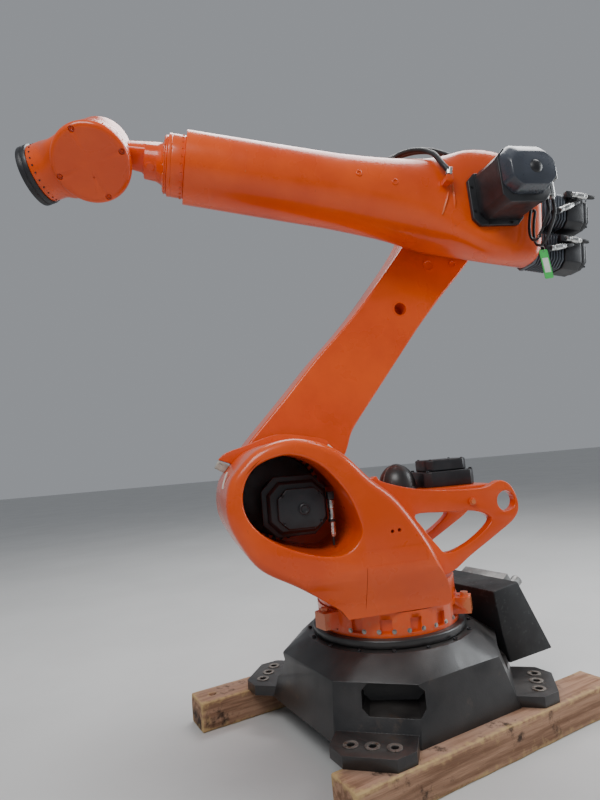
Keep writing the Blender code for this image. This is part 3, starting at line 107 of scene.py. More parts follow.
# The frames of the moving groups
FLAT = Matrix.Identity(4)
BASE = turn("Z", BASE_TURN_DEG)
LINK = Matrix.Translation(SHOULDER) @ turn("Y", LINK_LEAN_DEG)
FOREARM = LINK @ shift(LINK_LENGTH, 0, 0) @ turn("Y", ELBOW_DEG)
TUBE = FOREARM @ shift(0, 0, -TUBE_DROP)
ROLL = TUBE @ shift(ROLL_START, 0, 0) @ turn("X", ROLL_DEG)
HEAD = ROLL @ shift(BEND_START, 0, 0) @ turn("Y", BEND_DEG)
TOOL = HEAD @ shift(FLANGE_START, 0, 0)
DRIVE = FOREARM @ shift(0, 0, -DRIVE_DROP) @ turn("Y", DRIVE_TILT_DEG)

# A shape is made along +Z and then faces one of these ways
FACING = {
    "+Z": FLAT, "-Z": turn("X", 180), "+X": turn("Y", 90), "+Y": turn("X", -90), "-Y": turn("X", 90),
}


# Camera, light and floor
PHOTO_EYE = (0.6881, 1.8278, 0.7902)
PHOTO_YAW_PITCH_ROLL_DEG = (256.430, 6.092, -4.667)
PHOTO_LENS = 32.67
FLOOR_DROP = 95.5 * MM


def photo_camera():
    """Camera at the photograph's viewpoint."""
    yaw, pitch, roll = (math.radians(a) for a in PHOTO_YAW_PITCH_ROLL_DEG)
    forward = Vector((math.cos(yaw) * math.cos(pitch), math.sin(yaw) * math.cos(pitch), math.sin(pitch)))
    level = Vector((math.sin(yaw), -math.cos(yaw), 0))
    upright = level.cross(forward)
    side = level * math.cos(roll) + upright * math.sin(roll)
    above = upright * math.cos(roll) - level * math.sin(roll)
    data = bpy.data.cameras.new("photo_camera")
    data.sensor_fit = "HORIZONTAL"
    data.sensor_width = 36
    data.lens = PHOTO_LENS
    data.clip_end = 200
    camera = bpy.data.objects.new("photo_camera", data)
    pose = Matrix((side, above, -forward)).transposed().to_4x4()
    pose.translation = Vector(PHOTO_EYE)
    camera.matrix_world = pose
    bpy.context.scene.collection.objects.link(camera)
    bpy.context.scene.camera = camera


def soft_light(name, place, target, size, power, colour=(1, 1, 1)):
    """Large area light that looks at a point."""
    data = bpy.data.lights.new(name, "AREA")
    data.shape = "RECTANGLE"
    data.size, data.size_y = size
    data.energy = power
    data.color = colour
    light = bpy.data.objects.new(name, data)
    light.location = place
    aim = Vector(target) - Vector(place)
    light.rotation_euler = aim.to_track_quat("-Z", "Y").to_euler()
    bpy.context.scene.collection.objects.link(light)


def studio():
    """Pale floor and soft light, brightest from above and from behind on the right."""
    world = bpy.data.worlds.new("studio")
    bpy.context.scene.world = world
    world.use_nodes = True
    shade = world.node_tree.nodes["Background"]
    shade.inputs["Color"].default_value = (0.80, 0.84, 0.90, 1)
    shade.inputs["Strength"].default_value = 0.36
    soft_light("roof_windows", (-1.2, -1.2, 4.6), (0, 0, 1.0), (5.0, 2.0), 200)
    soft_light("near_roof", (1.9, 2.6, 3.9), (0, 0, 1.0), (2.4, 1.6), 105)
    soft_light("side_windows", (-3.6, 0.6, 1.9), (0, 0, 0.9), (1.6, 2.4), 85, (0.93, 0.97, 1))
    bm = bmesh.new()
    bmesh.ops.create_grid(bm, x_segments=1, y_segments=1, size=30)
    bmesh.ops.translate(bm, vec=(0, 0, -FLOOR_DROP), verts=bm.verts)
    mesh = bpy.data.meshes.new("floor")
    bm.to_mesh(mesh)
    bm.free()
    floor = bpy.data.objects.new("floor", mesh)
    mesh.materials.append(FLOOR)
    bpy.context.scene.collection.objects.link(floor)


# Finishes
def add_node(tree, kind, **values):
    """Node with its sockets set by name; a tuple (node, output) is linked."""
    node = tree.nodes.new(kind)
    for key, value in values.items():
        if key.startswith("set_"):
            setattr(node, key[4:], value)
            continue
        socket = node.inputs[int(key[3:])] if key.startswith("in_") else node.inputs[key.replace("_", " ")]
        if isinstance(value, tuple) and len(value) == 2 and isinstance(value[0], bpy.types.Node):
            tree.links.new(value[0].outputs[value[1]], socket)
        else:
            socket.default_value = value
    return node


def mask(tree, source, low, high):
    """Turn a noise value into a mask that rises from low to high."""
    return add_node(tree, "ShaderNodeMapRange", Value=source, From_Min=low, From_Max=high,
                    set_interpolation_type="SMOOTHSTEP")


def mixed(tree, factor, first, second):
    """Mix two colours, either of them fixed or from a node."""
    node = tree.nodes.new("ShaderNodeMix")
    node.data_type = "RGBA"
    for number, value in ((0, factor), (6, first), (7, second)):
        if isinstance(value, tuple) and isinstance(value[0], bpy.types.Node):
            tree.links.new(value[0].outputs[value[1]], node.inputs[number])
        elif number:
            node.inputs[number].default_value = (*value, 1)
        else:
            node.inputs[number].default_value = value
    return (node, 2)


def painted(name, light, dark, patch, rough, grain, fixed, dirt=None, worn=None, dust=None, lay=None):
    """Finish with patches of two tones, uneven gloss and a fine grain, and dirt, pale edges and dust on top.

    patch is the noise scale of the tones, rough is (least, most), grain is (scale, depth in metres), dirt
    is (colour, scale, threshold), the pale-edge argument is (colour, least pointiness), dust is (colour,
    share) and lay is (scale per axis, turn about Z) for a finish that runs one way. The pale edges are edge
    wear, and on the black casting they are also a painted highlight along its ridges.
    """
    material = bpy.data.materials.new(name)
    material.use_nodes = True
    tree = material.node_tree
    shader = tree.nodes["Principled BSDF"]
    for key, value in fixed.items():
        shader.inputs[key].default_value = value
    place = add_node(tree, "ShaderNodeTexCoord")
    where = (place, "Object")
    if lay:
        spun = add_node(tree, "ShaderNodeMapping", Vector=where, Rotation=(0, 0, -lay[1]))
        where = (add_node(tree, "ShaderNodeMapping", Vector=(spun, 0), Scale=lay[0]), 0)
    tones = add_node(tree, "ShaderNodeTexNoise", Vector=where, Scale=patch, Detail=5.0, Roughness=0.6)
    colour = mixed(tree, (mask(tree, (tones, 0), 0.35, 0.65), 0), dark, light)
    if dust:
        up = add_node(tree, "ShaderNodeSeparateXYZ", Vector=(place, "Normal"))
        cloud = add_node(tree, "ShaderNodeTexNoise", Vector=(place, "Object"), Scale=7.0, Detail=6.0)
        top = mask(tree, (up, 2), 0.55, 1.0)
        cover = add_node(tree, "ShaderNodeMath", set_operation="MULTIPLY", in_0=(top, 0),
                         in_1=(mask(tree, (cloud, 0), 0.3, 0.75), 0))
        thin = add_node(tree, "ShaderNodeMath", set_operation="MULTIPLY", in_0=(cover, 0), in_1=dust[1])
        colour = mixed(tree, (thin, 0), colour, dust[0])
    if dirt:
        stains = add_node(tree, "ShaderNodeTexNoise", Vector=(place, "Object"), Scale=dirt[1], Detail=8.0,
                          Roughness=0.7)
        colour = mixed(tree, (mask(tree, (stains, 0), dirt[2], dirt[2] + 0.10), 0), colour, dirt[0])
    # Pale colour on convex edges, found by pointiness: edge wear, and on the black casting also a painted
    # highlight along its ridges.
    if worn:
        shape = add_node(tree, "ShaderNodeNewGeometry")
        wear_and_highlight_noise = add_node(tree, "ShaderNodeTexNoise", Vector=(place, "Object"), Scale=60.0, Detail=4.0)
        raised = add_node(tree, "ShaderNodeMath", set_operation="MULTIPLY_ADD", in_0=(wear_and_highlight_noise, 0), in_1=0.10,
                          in_2=(shape, "Pointiness"))
        colour = mixed(tree, (mask(tree, (raised, 0), worn[1], worn[1] + 0.05), 0), colour, worn[0])
    tree.links.new(colour[0].outputs[colour[1]], shader.inputs["Base Color"])
    gloss = add_node(tree, "ShaderNodeTexNoise", Vector=where, Scale=patch * 3.1, Detail=4.0)
    spread = add_node(tree, "ShaderNodeMapRange", Value=(gloss, 0), From_Min=0.3, From_Max=0.7,
                      To_Min=rough[0], To_Max=rough[1])
    tree.links.new(spread.outputs[0], shader.inputs["Roughness"])
    fine = add_node(tree, "ShaderNodeTexNoise", Vector=where, Scale=grain[0], Detail=3.0)
    bump = add_node(tree, "ShaderNodeBump", Height=(fine, 0), Strength=1.0, Distance=grain[1])
    tree.links.new(bump.outputs[0], shader.inputs["Normal"])
    return material


GLOSS = {"Coat Weight": 0.35, "Coat Roughness": 0.12, "Specular IOR Level": 0.35}
ORANGE = painted("orange_enamel", (0.80, 0.098, 0.007), (0.66, 0.066, 0.004), 2.2, (0.22, 0.38),
                 (420, 0.00012), GLOSS, dirt=((0.36, 0.060, 0.016), 34.0, 0.665),
                 worn=((0.62, 0.17, 0.06), 0.63), dust=((0.62, 0.20, 0.09), 0.12))
# The pale edge colour of the black casting is partly edge wear and partly a painted highlight along the
# ridges of the base.
CAST_BLACK = painted("satin_black_casting", (0.024, 0.021, 0.020), (0.009, 0.0085, 0.009), 5.0, (0.28, 0.50),
                     (260, 0.00030), {"Coat Weight": 0.25, "Coat Roughness": 0.3},
                     dirt=((0.055, 0.038, 0.028), 9.0, 0.60), worn=((0.16, 0.15, 0.145), 0.60),
                     dust=((0.13, 0.12, 0.11), 0.35))
MOTOR_BLACK = painted("motor_black", (0.022, 0.023, 0.026), (0.011, 0.011, 0.013), 12.0, (0.30, 0.46),
                      (500, 0.00010), {"Specular IOR Level": 0.5}, dirt=((0.055, 0.052, 0.050), 40.0, 0.66),
                      worn=((0.10, 0.10, 0.105), 0.64), dust=((0.09, 0.09, 0.09), 0.4))
RIB_GREY = painted("motor_rib_grey", (0.105, 0.120, 0.140), (0.070, 0.082, 0.100), 14.0, (0.34, 0.5),
                   (400, 0.00010), {"Metallic": 0.3}, dirt=((0.05, 0.05, 0.05), 30.0, 0.62))
BOX_BLACK = painted("powder_black_sheet", (0.012, 0.012, 0.013), (0.006, 0.006, 0.007), 6.0, (0.50, 0.66),
                    (900, 0.00008), {"Specular IOR Level": 0.4}, dirt=((0.075, 0.070, 0.065), 16.0, 0.62),
                    worn=((0.12, 0.12, 0.12), 0.62), dust=((0.10, 0.095, 0.09), 0.3))
LID_GREY = painted("lid_grey", (0.30, 0.30, 0.29), (0.20, 0.20, 0.195), 18.0, (0.35, 0.55), (300, 0.00008),
                   {"Metallic": 0.6}, dirt=((0.10, 0.09, 0.08), 26.0, 0.60))
SILVER = painted("silver_shell", (0.66, 0.66, 0.64), (0.46, 0.46, 0.45), 40.0, (0.20, 0.38), (700, 0.00006),
                 {"Metallic": 1.0}, dirt=((0.20, 0.19, 0.17), 60.0, 0.62))
BOLT_DARK = painted("black_bolt", (0.050, 0.050, 0.053), (0.028, 0.028, 0.030), 60.0, (0.32, 0.5),
                    (900, 0.00004), {"Metallic": 0.7}, dirt=((0.11, 0.075, 0.05), 70.0, 0.60))
BOLT_BRIGHT = painted("zinc_bolt", (0.42, 0.41, 0.38), (0.26, 0.25, 0.23), 60.0, (0.28, 0.46),
                      (900, 0.00004), {"Metallic": 0.9}, dirt=((0.16, 0.11, 0.07), 70.0, 0.56))
LID_BLUE = painted("blue_black_lid", (0.050, 0.058, 0.075), (0.034, 0.040, 0.053), 9.0, (0.22, 0.36),
                   (600, 0.00008), {"Coat Weight": 0.4, "Coat Roughness": 0.15},
                   dirt=((0.075, 0.075, 0.075), 40.0, 0.66), worn=((0.16, 0.17, 0.19), 0.62))
RUBBER = painted("rubber_hose", (0.026, 0.026, 0.027), (0.014, 0.014, 0.015), 30.0, (0.38, 0.56),
                 (900, 0.00006), {"Specular IOR Level": 0.45}, dirt=((0.07, 0.065, 0.06), 50.0, 0.64))
BUFFER_GREY = painted("buffer_grey", (0.52, 0.49, 0.42), (0.37, 0.35, 0.30), 30.0, (0.6, 0.85),
                      (500, 0.00012), {"Specular IOR Level": 0.3}, dirt=((0.15, 0.13, 0.11), 40.0, 0.56))
# Pale buffer colour; on the bent strip it also paints the highlight on the drum's machined edge.
PALE_BUFFER_AND_STRIP_HIGHLIGHT = painted("pale_buffer_and_strip_highlight", (0.80, 0.76, 0.68), (0.66, 0.62, 0.55), 30.0, (0.5, 0.75),
                      (500, 0.00012), {"Specular IOR Level": 0.3}, dirt=((0.30, 0.26, 0.21), 40.0, 0.60))
TAG_GREEN = painted("green_card", (0.05, 0.56, 0.10), (0.035, 0.46, 0.075), 20.0, (0.35, 0.5),
                    (600, 0.00004), {"Specular IOR Level": 0.5})
TAG_PALE = painted("pale_card", (0.72, 0.74, 0.68), (0.62, 0.64, 0.58), 30.0, (0.4, 0.55),
                   (600, 0.00004), {"Specular IOR Level": 0.4})
WORN_STEEL = painted("worn_steel", (0.30, 0.27, 0.24), (0.15, 0.135, 0.125), 26.0, (0.35, 0.6),
                     (300, 0.00015), {"Metallic": 0.6}, dirt=((0.10, 0.065, 0.04), 30.0, 0.55))
FLOOR = painted("pale_floor", (0.60, 0.60, 0.59), (0.57, 0.57, 0.56), 1.2, (0.5, 0.65), (60, 0.0002),
                {"Specular IOR Level": 0.3})
TIMBER = painted("worn_timber", (0.40, 0.235, 0.150), (0.20, 0.105, 0.062), 9.0, (0.70, 0.90), (60, 0.0011),
                 {"Specular IOR Level": 0.25}, dirt=((0.055, 0.034, 0.024), 7.0, 0.54),
                 worn=((0.50, 0.34, 0.16), 0.56), dust=((0.42, 0.27, 0.20), 0.8),
                 lay=((0.35, 6.0, 6.0), math.radians(15.3)))


# Shapes
def lie(base, place=(0, 0, 0), facing="+Z"):
    """Where a shape made along +Z comes to lie."""
    return base @ Matrix.Translation(place) @ FACING[facing]


def merge(bm, other):
    """Move one bmesh's geometry into another."""
    mesh = bpy.data.meshes.new("carried")
    other.to_mesh(mesh)
    other.free()
    bm.from_mesh(mesh)
    bpy.data.meshes.remove(mesh)


def soften(points, radius, steps=4, closed=False):
    """Round the corners of a run of points."""
    count = len(points)
    soft = []
    for i, here in enumerate(points):
        if not closed and i in (0, count - 1):
            soft.append(tuple(here))
            continue
        here = Vector(here)
        before, after = Vector(points[i - 1]) - here, Vector(points[(i + 1) % count]) - here
        start = here + before.normalized() * min(radius, before.length * 0.49)
        end = here + after.normalized() * min(radius, after.length * 0.49)
        for step in range(steps + 1):
            t = step / steps
            soft.append(tuple(start * (1 - t) ** 2 + here * (2 * t * (1 - t)) + end * t * t))
    return soft


def curve_through(points, steps=3):
    """Smooth curve through open points."""
    curve = [tuple(points[0])]
    for i in range(len(points) - 1):
        before, start = Vector(points[max(i - 1, 0)]), Vector(points[i])
        end, after = Vector(points[i + 1]), Vector(points[min(i + 2, len(points) - 1)])
        for step in range(1, steps + 1):
            t = step / steps
            curve.append(tuple((start * (2 - 5 * t * t + 3 * t ** 3) + before * (2 * t * t - t - t ** 3)
                                + end * (t + 4 * t * t - 3 * t ** 3) + after * (t ** 3 - t * t)) * 0.5))
    return curve


def closed_curve(points, steps=3):
    """Smooth curve through a closed loop of points."""
    curve = curve_through(points[-2:] + points + points[:2], steps)
    return curve[2 * steps:(2 + len(points)) * steps]


def chamfered(width, height, cut, centre=(0, 0)):
    """Corners of a rectangle with its corners cut off."""
    w, h, (x, y) = width / 2, height / 2, centre
    return [
        (x - w + cut, y - h), (x + w - cut, y - h), (x + w, y - h + cut), (x + w, y + h - cut),
        (x + w - cut, y + h), (x - w + cut, y + h), (x - w, y + h - cut), (x - w, y - h + cut),
    ]


def rectangle(width, height, centre=(0, 0)):
    """Corners of a rectangle."""
    return [(centre[0] + a * width / 2, centre[1] + b * height / 2) for a, b in
            ((-1, -1), (1, -1), (1, 1), (-1, 1))]


def lathe(profile, place=FLAT, steps=64, into=None):
    """Spin a profile of (radius, height), from the axis to the axis."""
    bm = bmesh.new()
    line = [bm.verts.new((radius, 0, height)) for radius, height in profile]
    edges = [bm.edges.new(pair) for pair in zip(line, line[1:])]
    bmesh.ops.spin(bm, geom=line + edges, cent=(0, 0, 0), axis=(0, 0, 1), angle=TURN, steps=steps,
                   use_merge=True)
    bmesh.ops.remove_doubles(bm, verts=bm.verts, dist=0.02 * MM)
    bmesh.ops.recalc_face_normals(bm, faces=bm.faces)
    bmesh.ops.transform(bm, matrix=place, verts=bm.verts)
    if into is None:
        return bm
    merge(into, bm)
    return into


def drum(radius, low, high, edge=0.002, steps=3):
    """Profile of a disc with rounded rims."""
    return soften([(0, low), (radius, low), (radius, high), (0, high)], edge, steps)


def sleeve(inner, outer, low, high, edge, steps=1):
    """Profile of a plain ring with rounded rims."""
    return soften([(inner, low), (outer, low), (outer, high), (inner, high), (inner, low)], edge, steps)


def slab(outline, low, high, place=FLAT, edge=0.0, segments=3, into=None):
    """Extrude a flat outline from one height to another and round its edges."""
    bm = bmesh.new()
    face = bm.faces.new([bm.verts.new((a, b, low)) for a, b in outline])
    raised = bmesh.ops.extrude_face_region(bm, geom=[face])["geom"]
    corners = [part for part in raised if isinstance(part, bmesh.types.BMVert)]
    bmesh.ops.translate(bm, vec=(0, 0, high - low), verts=corners)
    bmesh.ops.recalc_face_normals(bm, faces=bm.faces)
    if edge:
        round_edges(bm, edge, segments)
    bmesh.ops.transform(bm, matrix=place, verts=bm.verts)
    if into is None:
        return bm
    merge(into, bm)
    return into


def round_edges(bm, width, segments=3, least_deg=28, chosen=None):
    """Bevel the edges that are sharper than an angle."""
    least = math.radians(least_deg)
    edges = [e for e in bm.edges
             if e.is_manifold and e.calc_face_angle() > least and (not chosen or chosen(e))]
    bmesh.ops.bevel(bm, geom=edges, offset=width, offset_type="OFFSET", segments=segments, profile=0.5,
                    affect="EDGES", clamp_overlap=True, material=-1)


def loft(sections, into=None):
    """Skin a row of closed sections that have as many points each, and close its ends."""
    bm = bmesh.new()
    loops = []
    for section in sections:
        ring = [bm.verts.new(point) for point in section]
        loops.append([bm.edges.new((ring[i - 1], ring[i])) for i in range(len(ring))])
    for lower, upper in zip(loops, loops[1:]):
        bmesh.ops.bridge_loops(bm, edges=lower + upper)
    for loop in (loops[0], loops[-1]):
        bmesh.ops.contextual_create(bm, geom=loop)
    bmesh.ops.recalc_face_normals(bm, faces=bm.faces)
    if into is None:
        return bm
    merge(into, bm)
    return into


def stood(name, bm):
    """Working object that holds a bmesh for a moment."""
    mesh = bpy.data.meshes.new(name)
    bm.to_mesh(mesh)
    bm.free()
    holder = bpy.data.objects.new(name, mesh)
    bpy.context.scene.collection.objects.link(holder)
    return holder


def combined(bm, other, operation="UNION"):
    """Join or cut one closed shape with another."""
    bmesh.ops.recalc_face_normals(other, faces=other.faces)
    target, tool = stood("target", bm), stood("tool", other)
    modifier = target.modifiers.new("shape", "BOOLEAN")
    modifier.operation = operation
    modifier.solver = "EXACT"
    modifier.object = tool
    ready = target.evaluated_get(bpy.context.evaluated_depsgraph_get())
    result = bmesh.new()
    result.from_mesh(ready.to_mesh())
    ready.to_mesh_clear()
    for holder in (target, tool):
        mesh = holder.data
        bpy.data.objects.remove(holder)
        bpy.data.meshes.remove(mesh)
    return result


def bored(body, radius, low, high, place, steps=20, edge=0.0, rounds=1):
    """Cut a round bore into a body."""
    return combined(body, lathe(drum(radius, low, high, edge, rounds), place, steps), "DIFFERENCE")


def slot_of(node):
    """Material slot that a CAD node was made with."""
    return frame["nodes"][node].data.materials[0].name.split(".")[0]


def piece(name, bm, finish, body, smooth_deg=32, stands_for=()):
    """Close a bmesh into a named piece with the given finish that rides on a body, and hide the nodes that it
    stands for.
    """
    bmesh.ops.remove_doubles(bm, verts=bm.verts, dist=0.01 * MM)
    bmesh.ops.recalc_face_normals(bm, faces=bm.faces)
    mesh = bpy.data.meshes.new(name)
    bm.to_mesh(mesh)
    bm.free()
    mesh.shade_smooth()
    mesh.set_sharp_from_angle(angle=math.radians(smooth_deg))
    made = bpy.data.objects.new(name, mesh)
    bpy.context.scene.collection.objects.link(made)
    mesh.materials.append(finish)
    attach(made, body)
    if stands_for:
        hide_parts(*stands_for)


def ring_of(base, place, facing, radius, count, start_deg=0.0):
    """Places of bolts on a circle, each facing out along the circle's axis."""
    spots = arc(radius, [start_deg + 360.0 * i / count for i in range(count)])
    return [lie(base, place, facing) @ shift(*spot, 0) for spot in spots]


def on_wall(axis, radius, height, degrees):
    """Places of screws on a round wall, each facing away from the wall's axis."""
    return [axis @ turn("Z", angle) @ shift(radius, 0, height) @ turn("Y", 90) for angle in degrees]


def bolt_row(name, spots, head, body, finish=None, kind="hex"):
    """Repeated bolts: hexagon heads on washers, or round heads with a socket."""
    finish = finish or BOLT_DARK
    bm = bmesh.new()
    for number, spot in enumerate(spots):
        spun = spot @ turn("Z", 23 * number)
        tall = head * (0.7 if kind == "hex" else 0.6)
        if kind == "hex":
            bmesh.ops.create_cone(bm, cap_ends=True, segments=12, radius1=head * 1.45, radius2=head * 1.38,
                                  depth=head * 0.16, matrix=spun @ shift(0, 0, head * 0.08))
            bmesh.ops.create_cone(bm, cap_ends=True, segments=6, radius1=head, radius2=head * 0.97,
                                  depth=tall, matrix=spun @ shift(0, 0, head * 0.16 + tall / 2))
            continue
        made = bmesh.ops.create_cone(bm, cap_ends=True, segments=12, radius1=head, radius2=head * 0.93,
                                     depth=tall, matrix=spun @ shift(0, 0, tall / 2))
        out = (spun.to_3x3() @ Vector((0, 0, 1))).normalized()
        faces = {f for v in made["verts"] for f in v.link_faces}
        top = max(faces, key=lambda f: f.calc_center_median().dot(out))
        bmesh.ops.inset_individual(bm, faces=[top], thickness=head * 0.42)
        bmesh.ops.translate(bm, vec=-out * tall * 0.6, verts=top.verts)
    piece(name, bm, finish, body)


def solid_of(node):
    """The CAD solid of a node, without the edges inside its flat faces."""
    bm = bmesh.new()
    bm.from_mesh(frame["nodes"][node].data)
    bmesh.ops.remove_doubles(bm, verts=bm.verts, dist=0.02 * MM)
    bmesh.ops.dissolve_limit(bm, angle_limit=math.radians(1.0), verts=bm.verts, edges=bm.edges)
    return bm


def refined(node, finish, width, segments=3):
    """Stand-in for a CAD node: the same shape with its edges rounded."""
    bm = solid_of(node)
    bmesh.ops.recalc_face_normals(bm, faces=bm.faces)
    round_edges(bm, width, segments)
    body = frame["nodes"][node]["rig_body"]
    piece(node + "_dressed", bm, finish, body, stands_for=(node,))


# Hoses and cables, as points in the forearm's frame
HOUSING_NEAR = 0.1703
PLUG_X = -0.1228
PLUG_PITCH = 0.023
PLUG_Y = 0.2886
PLUG_LOW = -0.0563
LONG_RADIUS = 0.0125
SHORT_RADIUS = 0.0095
CABLE_RADIUS = 0.005


def below_socket(number, drop):
    """Point under one of the elbow motor's two plugs."""
    return tuple(FOREARM.inverted() @ DRIVE @ Vector((PLUG_X - PLUG_PITCH * number, PLUG_Y, PLUG_LOW - drop)))


LONG_HOSE = [
    (0.345, -0.060, 0.100), (0.345, -0.060, 0.112), (0.343, -0.060, 0.126), (0.333, -0.056, 0.146),
    (0.310, -0.048, 0.166), (0.270, -0.036, 0.185), (0.225, -0.022, 0.198), (0.180, -0.010, 0.202),
    (0.135, -0.002, 0.197), (0.090, 0.003, 0.186), (0.045, 0.004, 0.175), (0.000, 0.004, 0.170),
    (-0.050, 0.004, 0.170), (-0.080, 0.004, 0.170), (-0.0977, 0.004, 0.170),
]
SHORT_HOSE = [
    (0.325, -0.022, 0.116), (0.325, -0.022, 0.124), (0.325, -0.022, 0.132), (0.319, -0.016, 0.145),
    (0.300, 0.004, 0.155), (0.275, 0.037, 0.154), (0.250, 0.075, 0.140), (0.232, 0.105, 0.120),
    (0.222, 0.135, 0.095), (0.215, 0.157, 0.066), (0.208, 0.177, 0.034), (0.197, 0.188, 0.012),
    (0.190, 0.190, -0.004), (0.190, 0.190, -0.010), (0.190, 0.190, -0.0157),
]
CABLE_1 = [
    below_socket(0, 0), below_socket(0, 0.010), below_socket(0, 0.020), (-0.131, 0.297, -0.148),
    (-0.124, 0.288, -0.178), (-0.120, 0.268, -0.212), (-0.123, 0.244, -0.228), (-0.123, 0.220, -0.220),
    (-0.124, 0.204, -0.196), (-0.125, 0.198, -0.166), (-0.127, 0.197, -0.136), (-0.130, 0.198, -0.110),
    (-0.133, 0.196, -0.092), (-0.134, 0.186, -0.084), (-0.134, 0.178, -0.084), (-0.134, HOUSING_NEAR, -0.084),
]
CABLE_2 = [
    below_socket(1, 0), below_socket(1, 0.010), below_socket(1, 0.020), (-0.153, 0.298, -0.150),
    (-0.147, 0.290, -0.190), (-0.144, 0.268, -0.228), (-0.144, 0.240, -0.243), (-0.144, 0.214, -0.233),
    (-0.144, 0.200, -0.206), (-0.145, 0.195, -0.172), (-0.147, 0.194, -0.140), (-0.150, 0.195, -0.114),
    (-0.152, 0.194, -0.097), (-0.153, 0.186, -0.088), (-0.153, 0.178, -0.088), (-0.153, HOUSING_NEAR, -0.088),
]


def cord(name, route, radius, node):
    """Smooth round cord along a route in the forearm's frame."""
    data = bpy.data.curves.new(name, "CURVE")
    data.dimensions = "3D"
    data.bevel_depth = radius
    data.bevel_resolution = 5
    data.use_fill_caps = True
    points = curve_through(route, 2)
    spline = data.splines.new("POLY")
    spline.points.add(len(points) - 1)
    for point, place in zip(spline.points, points):
        point.co = (*(FOREARM @ Vector(place)), 1)
    spline.use_smooth = True
    data.materials.append(RUBBER)
    made = bpy.data.objects.new(name, data)
    bpy.context.scene.collection.objects.link(made)
    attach(made, "forearm")
    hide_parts(node)


def cords():
    """The two hoses over the forearm and the two looping cables under the elbow motor."""
    cord("long_hose_rubber", LONG_HOSE, LONG_RADIUS, "long_hose")
    cord("short_hose_rubber", SHORT_HOSE, SHORT_RADIUS, "short_hose")
    cord("elbow_cable_1_jacket", CABLE_1, CABLE_RADIUS, "elbow_cable_1")
    cord("elbow_cable_2_jacket", CABLE_2, CABLE_RADIUS, "elbow_cable_2")


# Base, box and bearers
FOOT_REACH = 0.451
FOOT_PITCH = 0.058
FOOT_TOP = 0.032
# Without a seed the noise would differ from run to run
TIMBER_SEED = 5


def bearers():
    """Rough-sawn timbers with uneven faces and knocked edges."""
    noise.seed_set(TIMBER_SEED)
    for name in ("bearer_near", "bearer_far"):
        bm = solid_of(name)
        bmesh.ops.transform(bm, matrix=BASE.inverted(), verts=bm.verts)
        round_edges(bm, 0.005, 2, 60)
        middle = BASE.inverted() @ sum((Vector(corner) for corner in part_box(name)), Vector()) / 2
        for axis, gap, count in (((1, 0, 0), 0.025, 45), ((0, 1, 0), 0.019, 5), ((0, 0, 1), 0.019, 4)):
            for step in range(count):
                point = middle + Vector(axis) * (gap * (step - (count - 1) / 2))
                bmesh.ops.bisect_plane(bm, geom=bm.verts[:] + bm.edges[:] + bm.faces[:], dist=1e-6,
                                       plane_co=point, plane_no=axis)
        for corner in bm.verts:
            rough = noise.noise_vector(corner.co * 24) * 0.0014 + noise.noise_vector(corner.co * 90) * 0.0007
            if corner.co.z > -0.002:
                rough.z = -abs(rough.z) * 0.15
            if corner.co.z < -0.094:
                rough.z = abs(rough.z)
            corner.co += rough
        bmesh.ops.transform(bm, matrix=BASE, verts=bm.verts)
        piece(name + "_sawn", bm, TIMBER, "base", 60, (name,))


def base():
    """Cast pedestal with washers on its bolt holes, and its collar with screws."""
    refined("base_casting", CAST_BLACK, 0.010, 3)
    refined("base_collar", CAST_BLACK, 0.003, 2)
    washers = bmesh.new()
    for quarter in range(4):
        for step in (-1, 0, 1):
            place = BASE @ turn("Z", 45 + 90 * quarter) @ shift(FOOT_REACH, step * FOOT_PITCH, FOOT_TOP)
            lathe(sleeve(0.0112, 0.021, 0, 0.0025, 0.0008, 2), place, 24, washers)
    piece("foot_washers", washers, WORN_STEEL, "base")
    spots = ring_of(BASE, (0, 0, 0.2055), "+Z", 0.270, 16, 11)
    bolt_row("collar_screws", spots, 0.007, "base", BOLT_DARK, "socket")


def connection_box():
    """Sheet box behind the base, and its pale panel."""
    refined("connection_box", BOX_BLACK, 0.004, 2)
    refined("connector_panel", LID_GREY, 0.0025, 2)


# Column and rear frame
COLUMN_FAR, COLUMN_NEAR = -0.128, 0.280
RIB_FAR, RIB_NEAR = -0.112, -0.066
OPENING_FLOOR = -0.020
RING_TOP = 0.305
# How far the column goes past the shoulder, forwards and up
REACH_PAST = 0.197
RISE_PAST = 0.174
NECK_RADIUS = 0.232
OPENING_RADIUS = 0.148
# Lays a (y, z) outline so that it is extruded along X
LYING = Matrix(((0, 0, 1, 0), (1, 0, 0, 0), (0, 1, 0, 0), (0, 0, 0, 1)))
COLUMN_CURVE = [
    (0.66, 0.088), (0.79, 0.175), (1.046, 0.32), (1.574, 0.486), (1.858, 0.703), (2, 0.898),
    (1.975, 1.252), (1.812, 1.559), (1.442, 1.896), (0.926, 2.001), (0.589, 1.749), (0.326, 1.229),
    (0.091, 0.911), (-0.149, 0.568), (-0.274, 0.298), (-0.34, 0.124),
]
COLUMN_FOOT = [(-0.37, 0.008), (0.6, 0.008)]
OPENING = [
    (1.771, 1.07), (1.68, 1.415), (1.462, 1.636), (1.036, 1.729), (0.771, 1.524), (0.574, 1.07),
    (0.48, 0.83), (0.46, 0.67), (0.58, 0.551), (0.754, 0.533), (1.005, 0.597), (1.426, 0.714),
    (1.695, 0.865),
]
UNDERCUT = [
    (0.300, 0.285), (0.2357, 0.285), (0.2357, RING_TOP), (0.240, 0.330), (0.250, 0.360), (0.262, 0.390),
    (0.273, 0.420), (0.281, 0.450), (0.300, 0.450),
]
LABEL_RECESS = [(0.149, 0.460), (0.149, 0.508), (-0.040, 0.508), (-0.040, 0.460)]
SEAM = [(0.1535, 0.457), (0.1549, 0.457), (0.1569, 0.330), (0.1555, 0.330)]
SMALL_BORES = ((0.0653, 0.553), (0.0428, 0.5546))
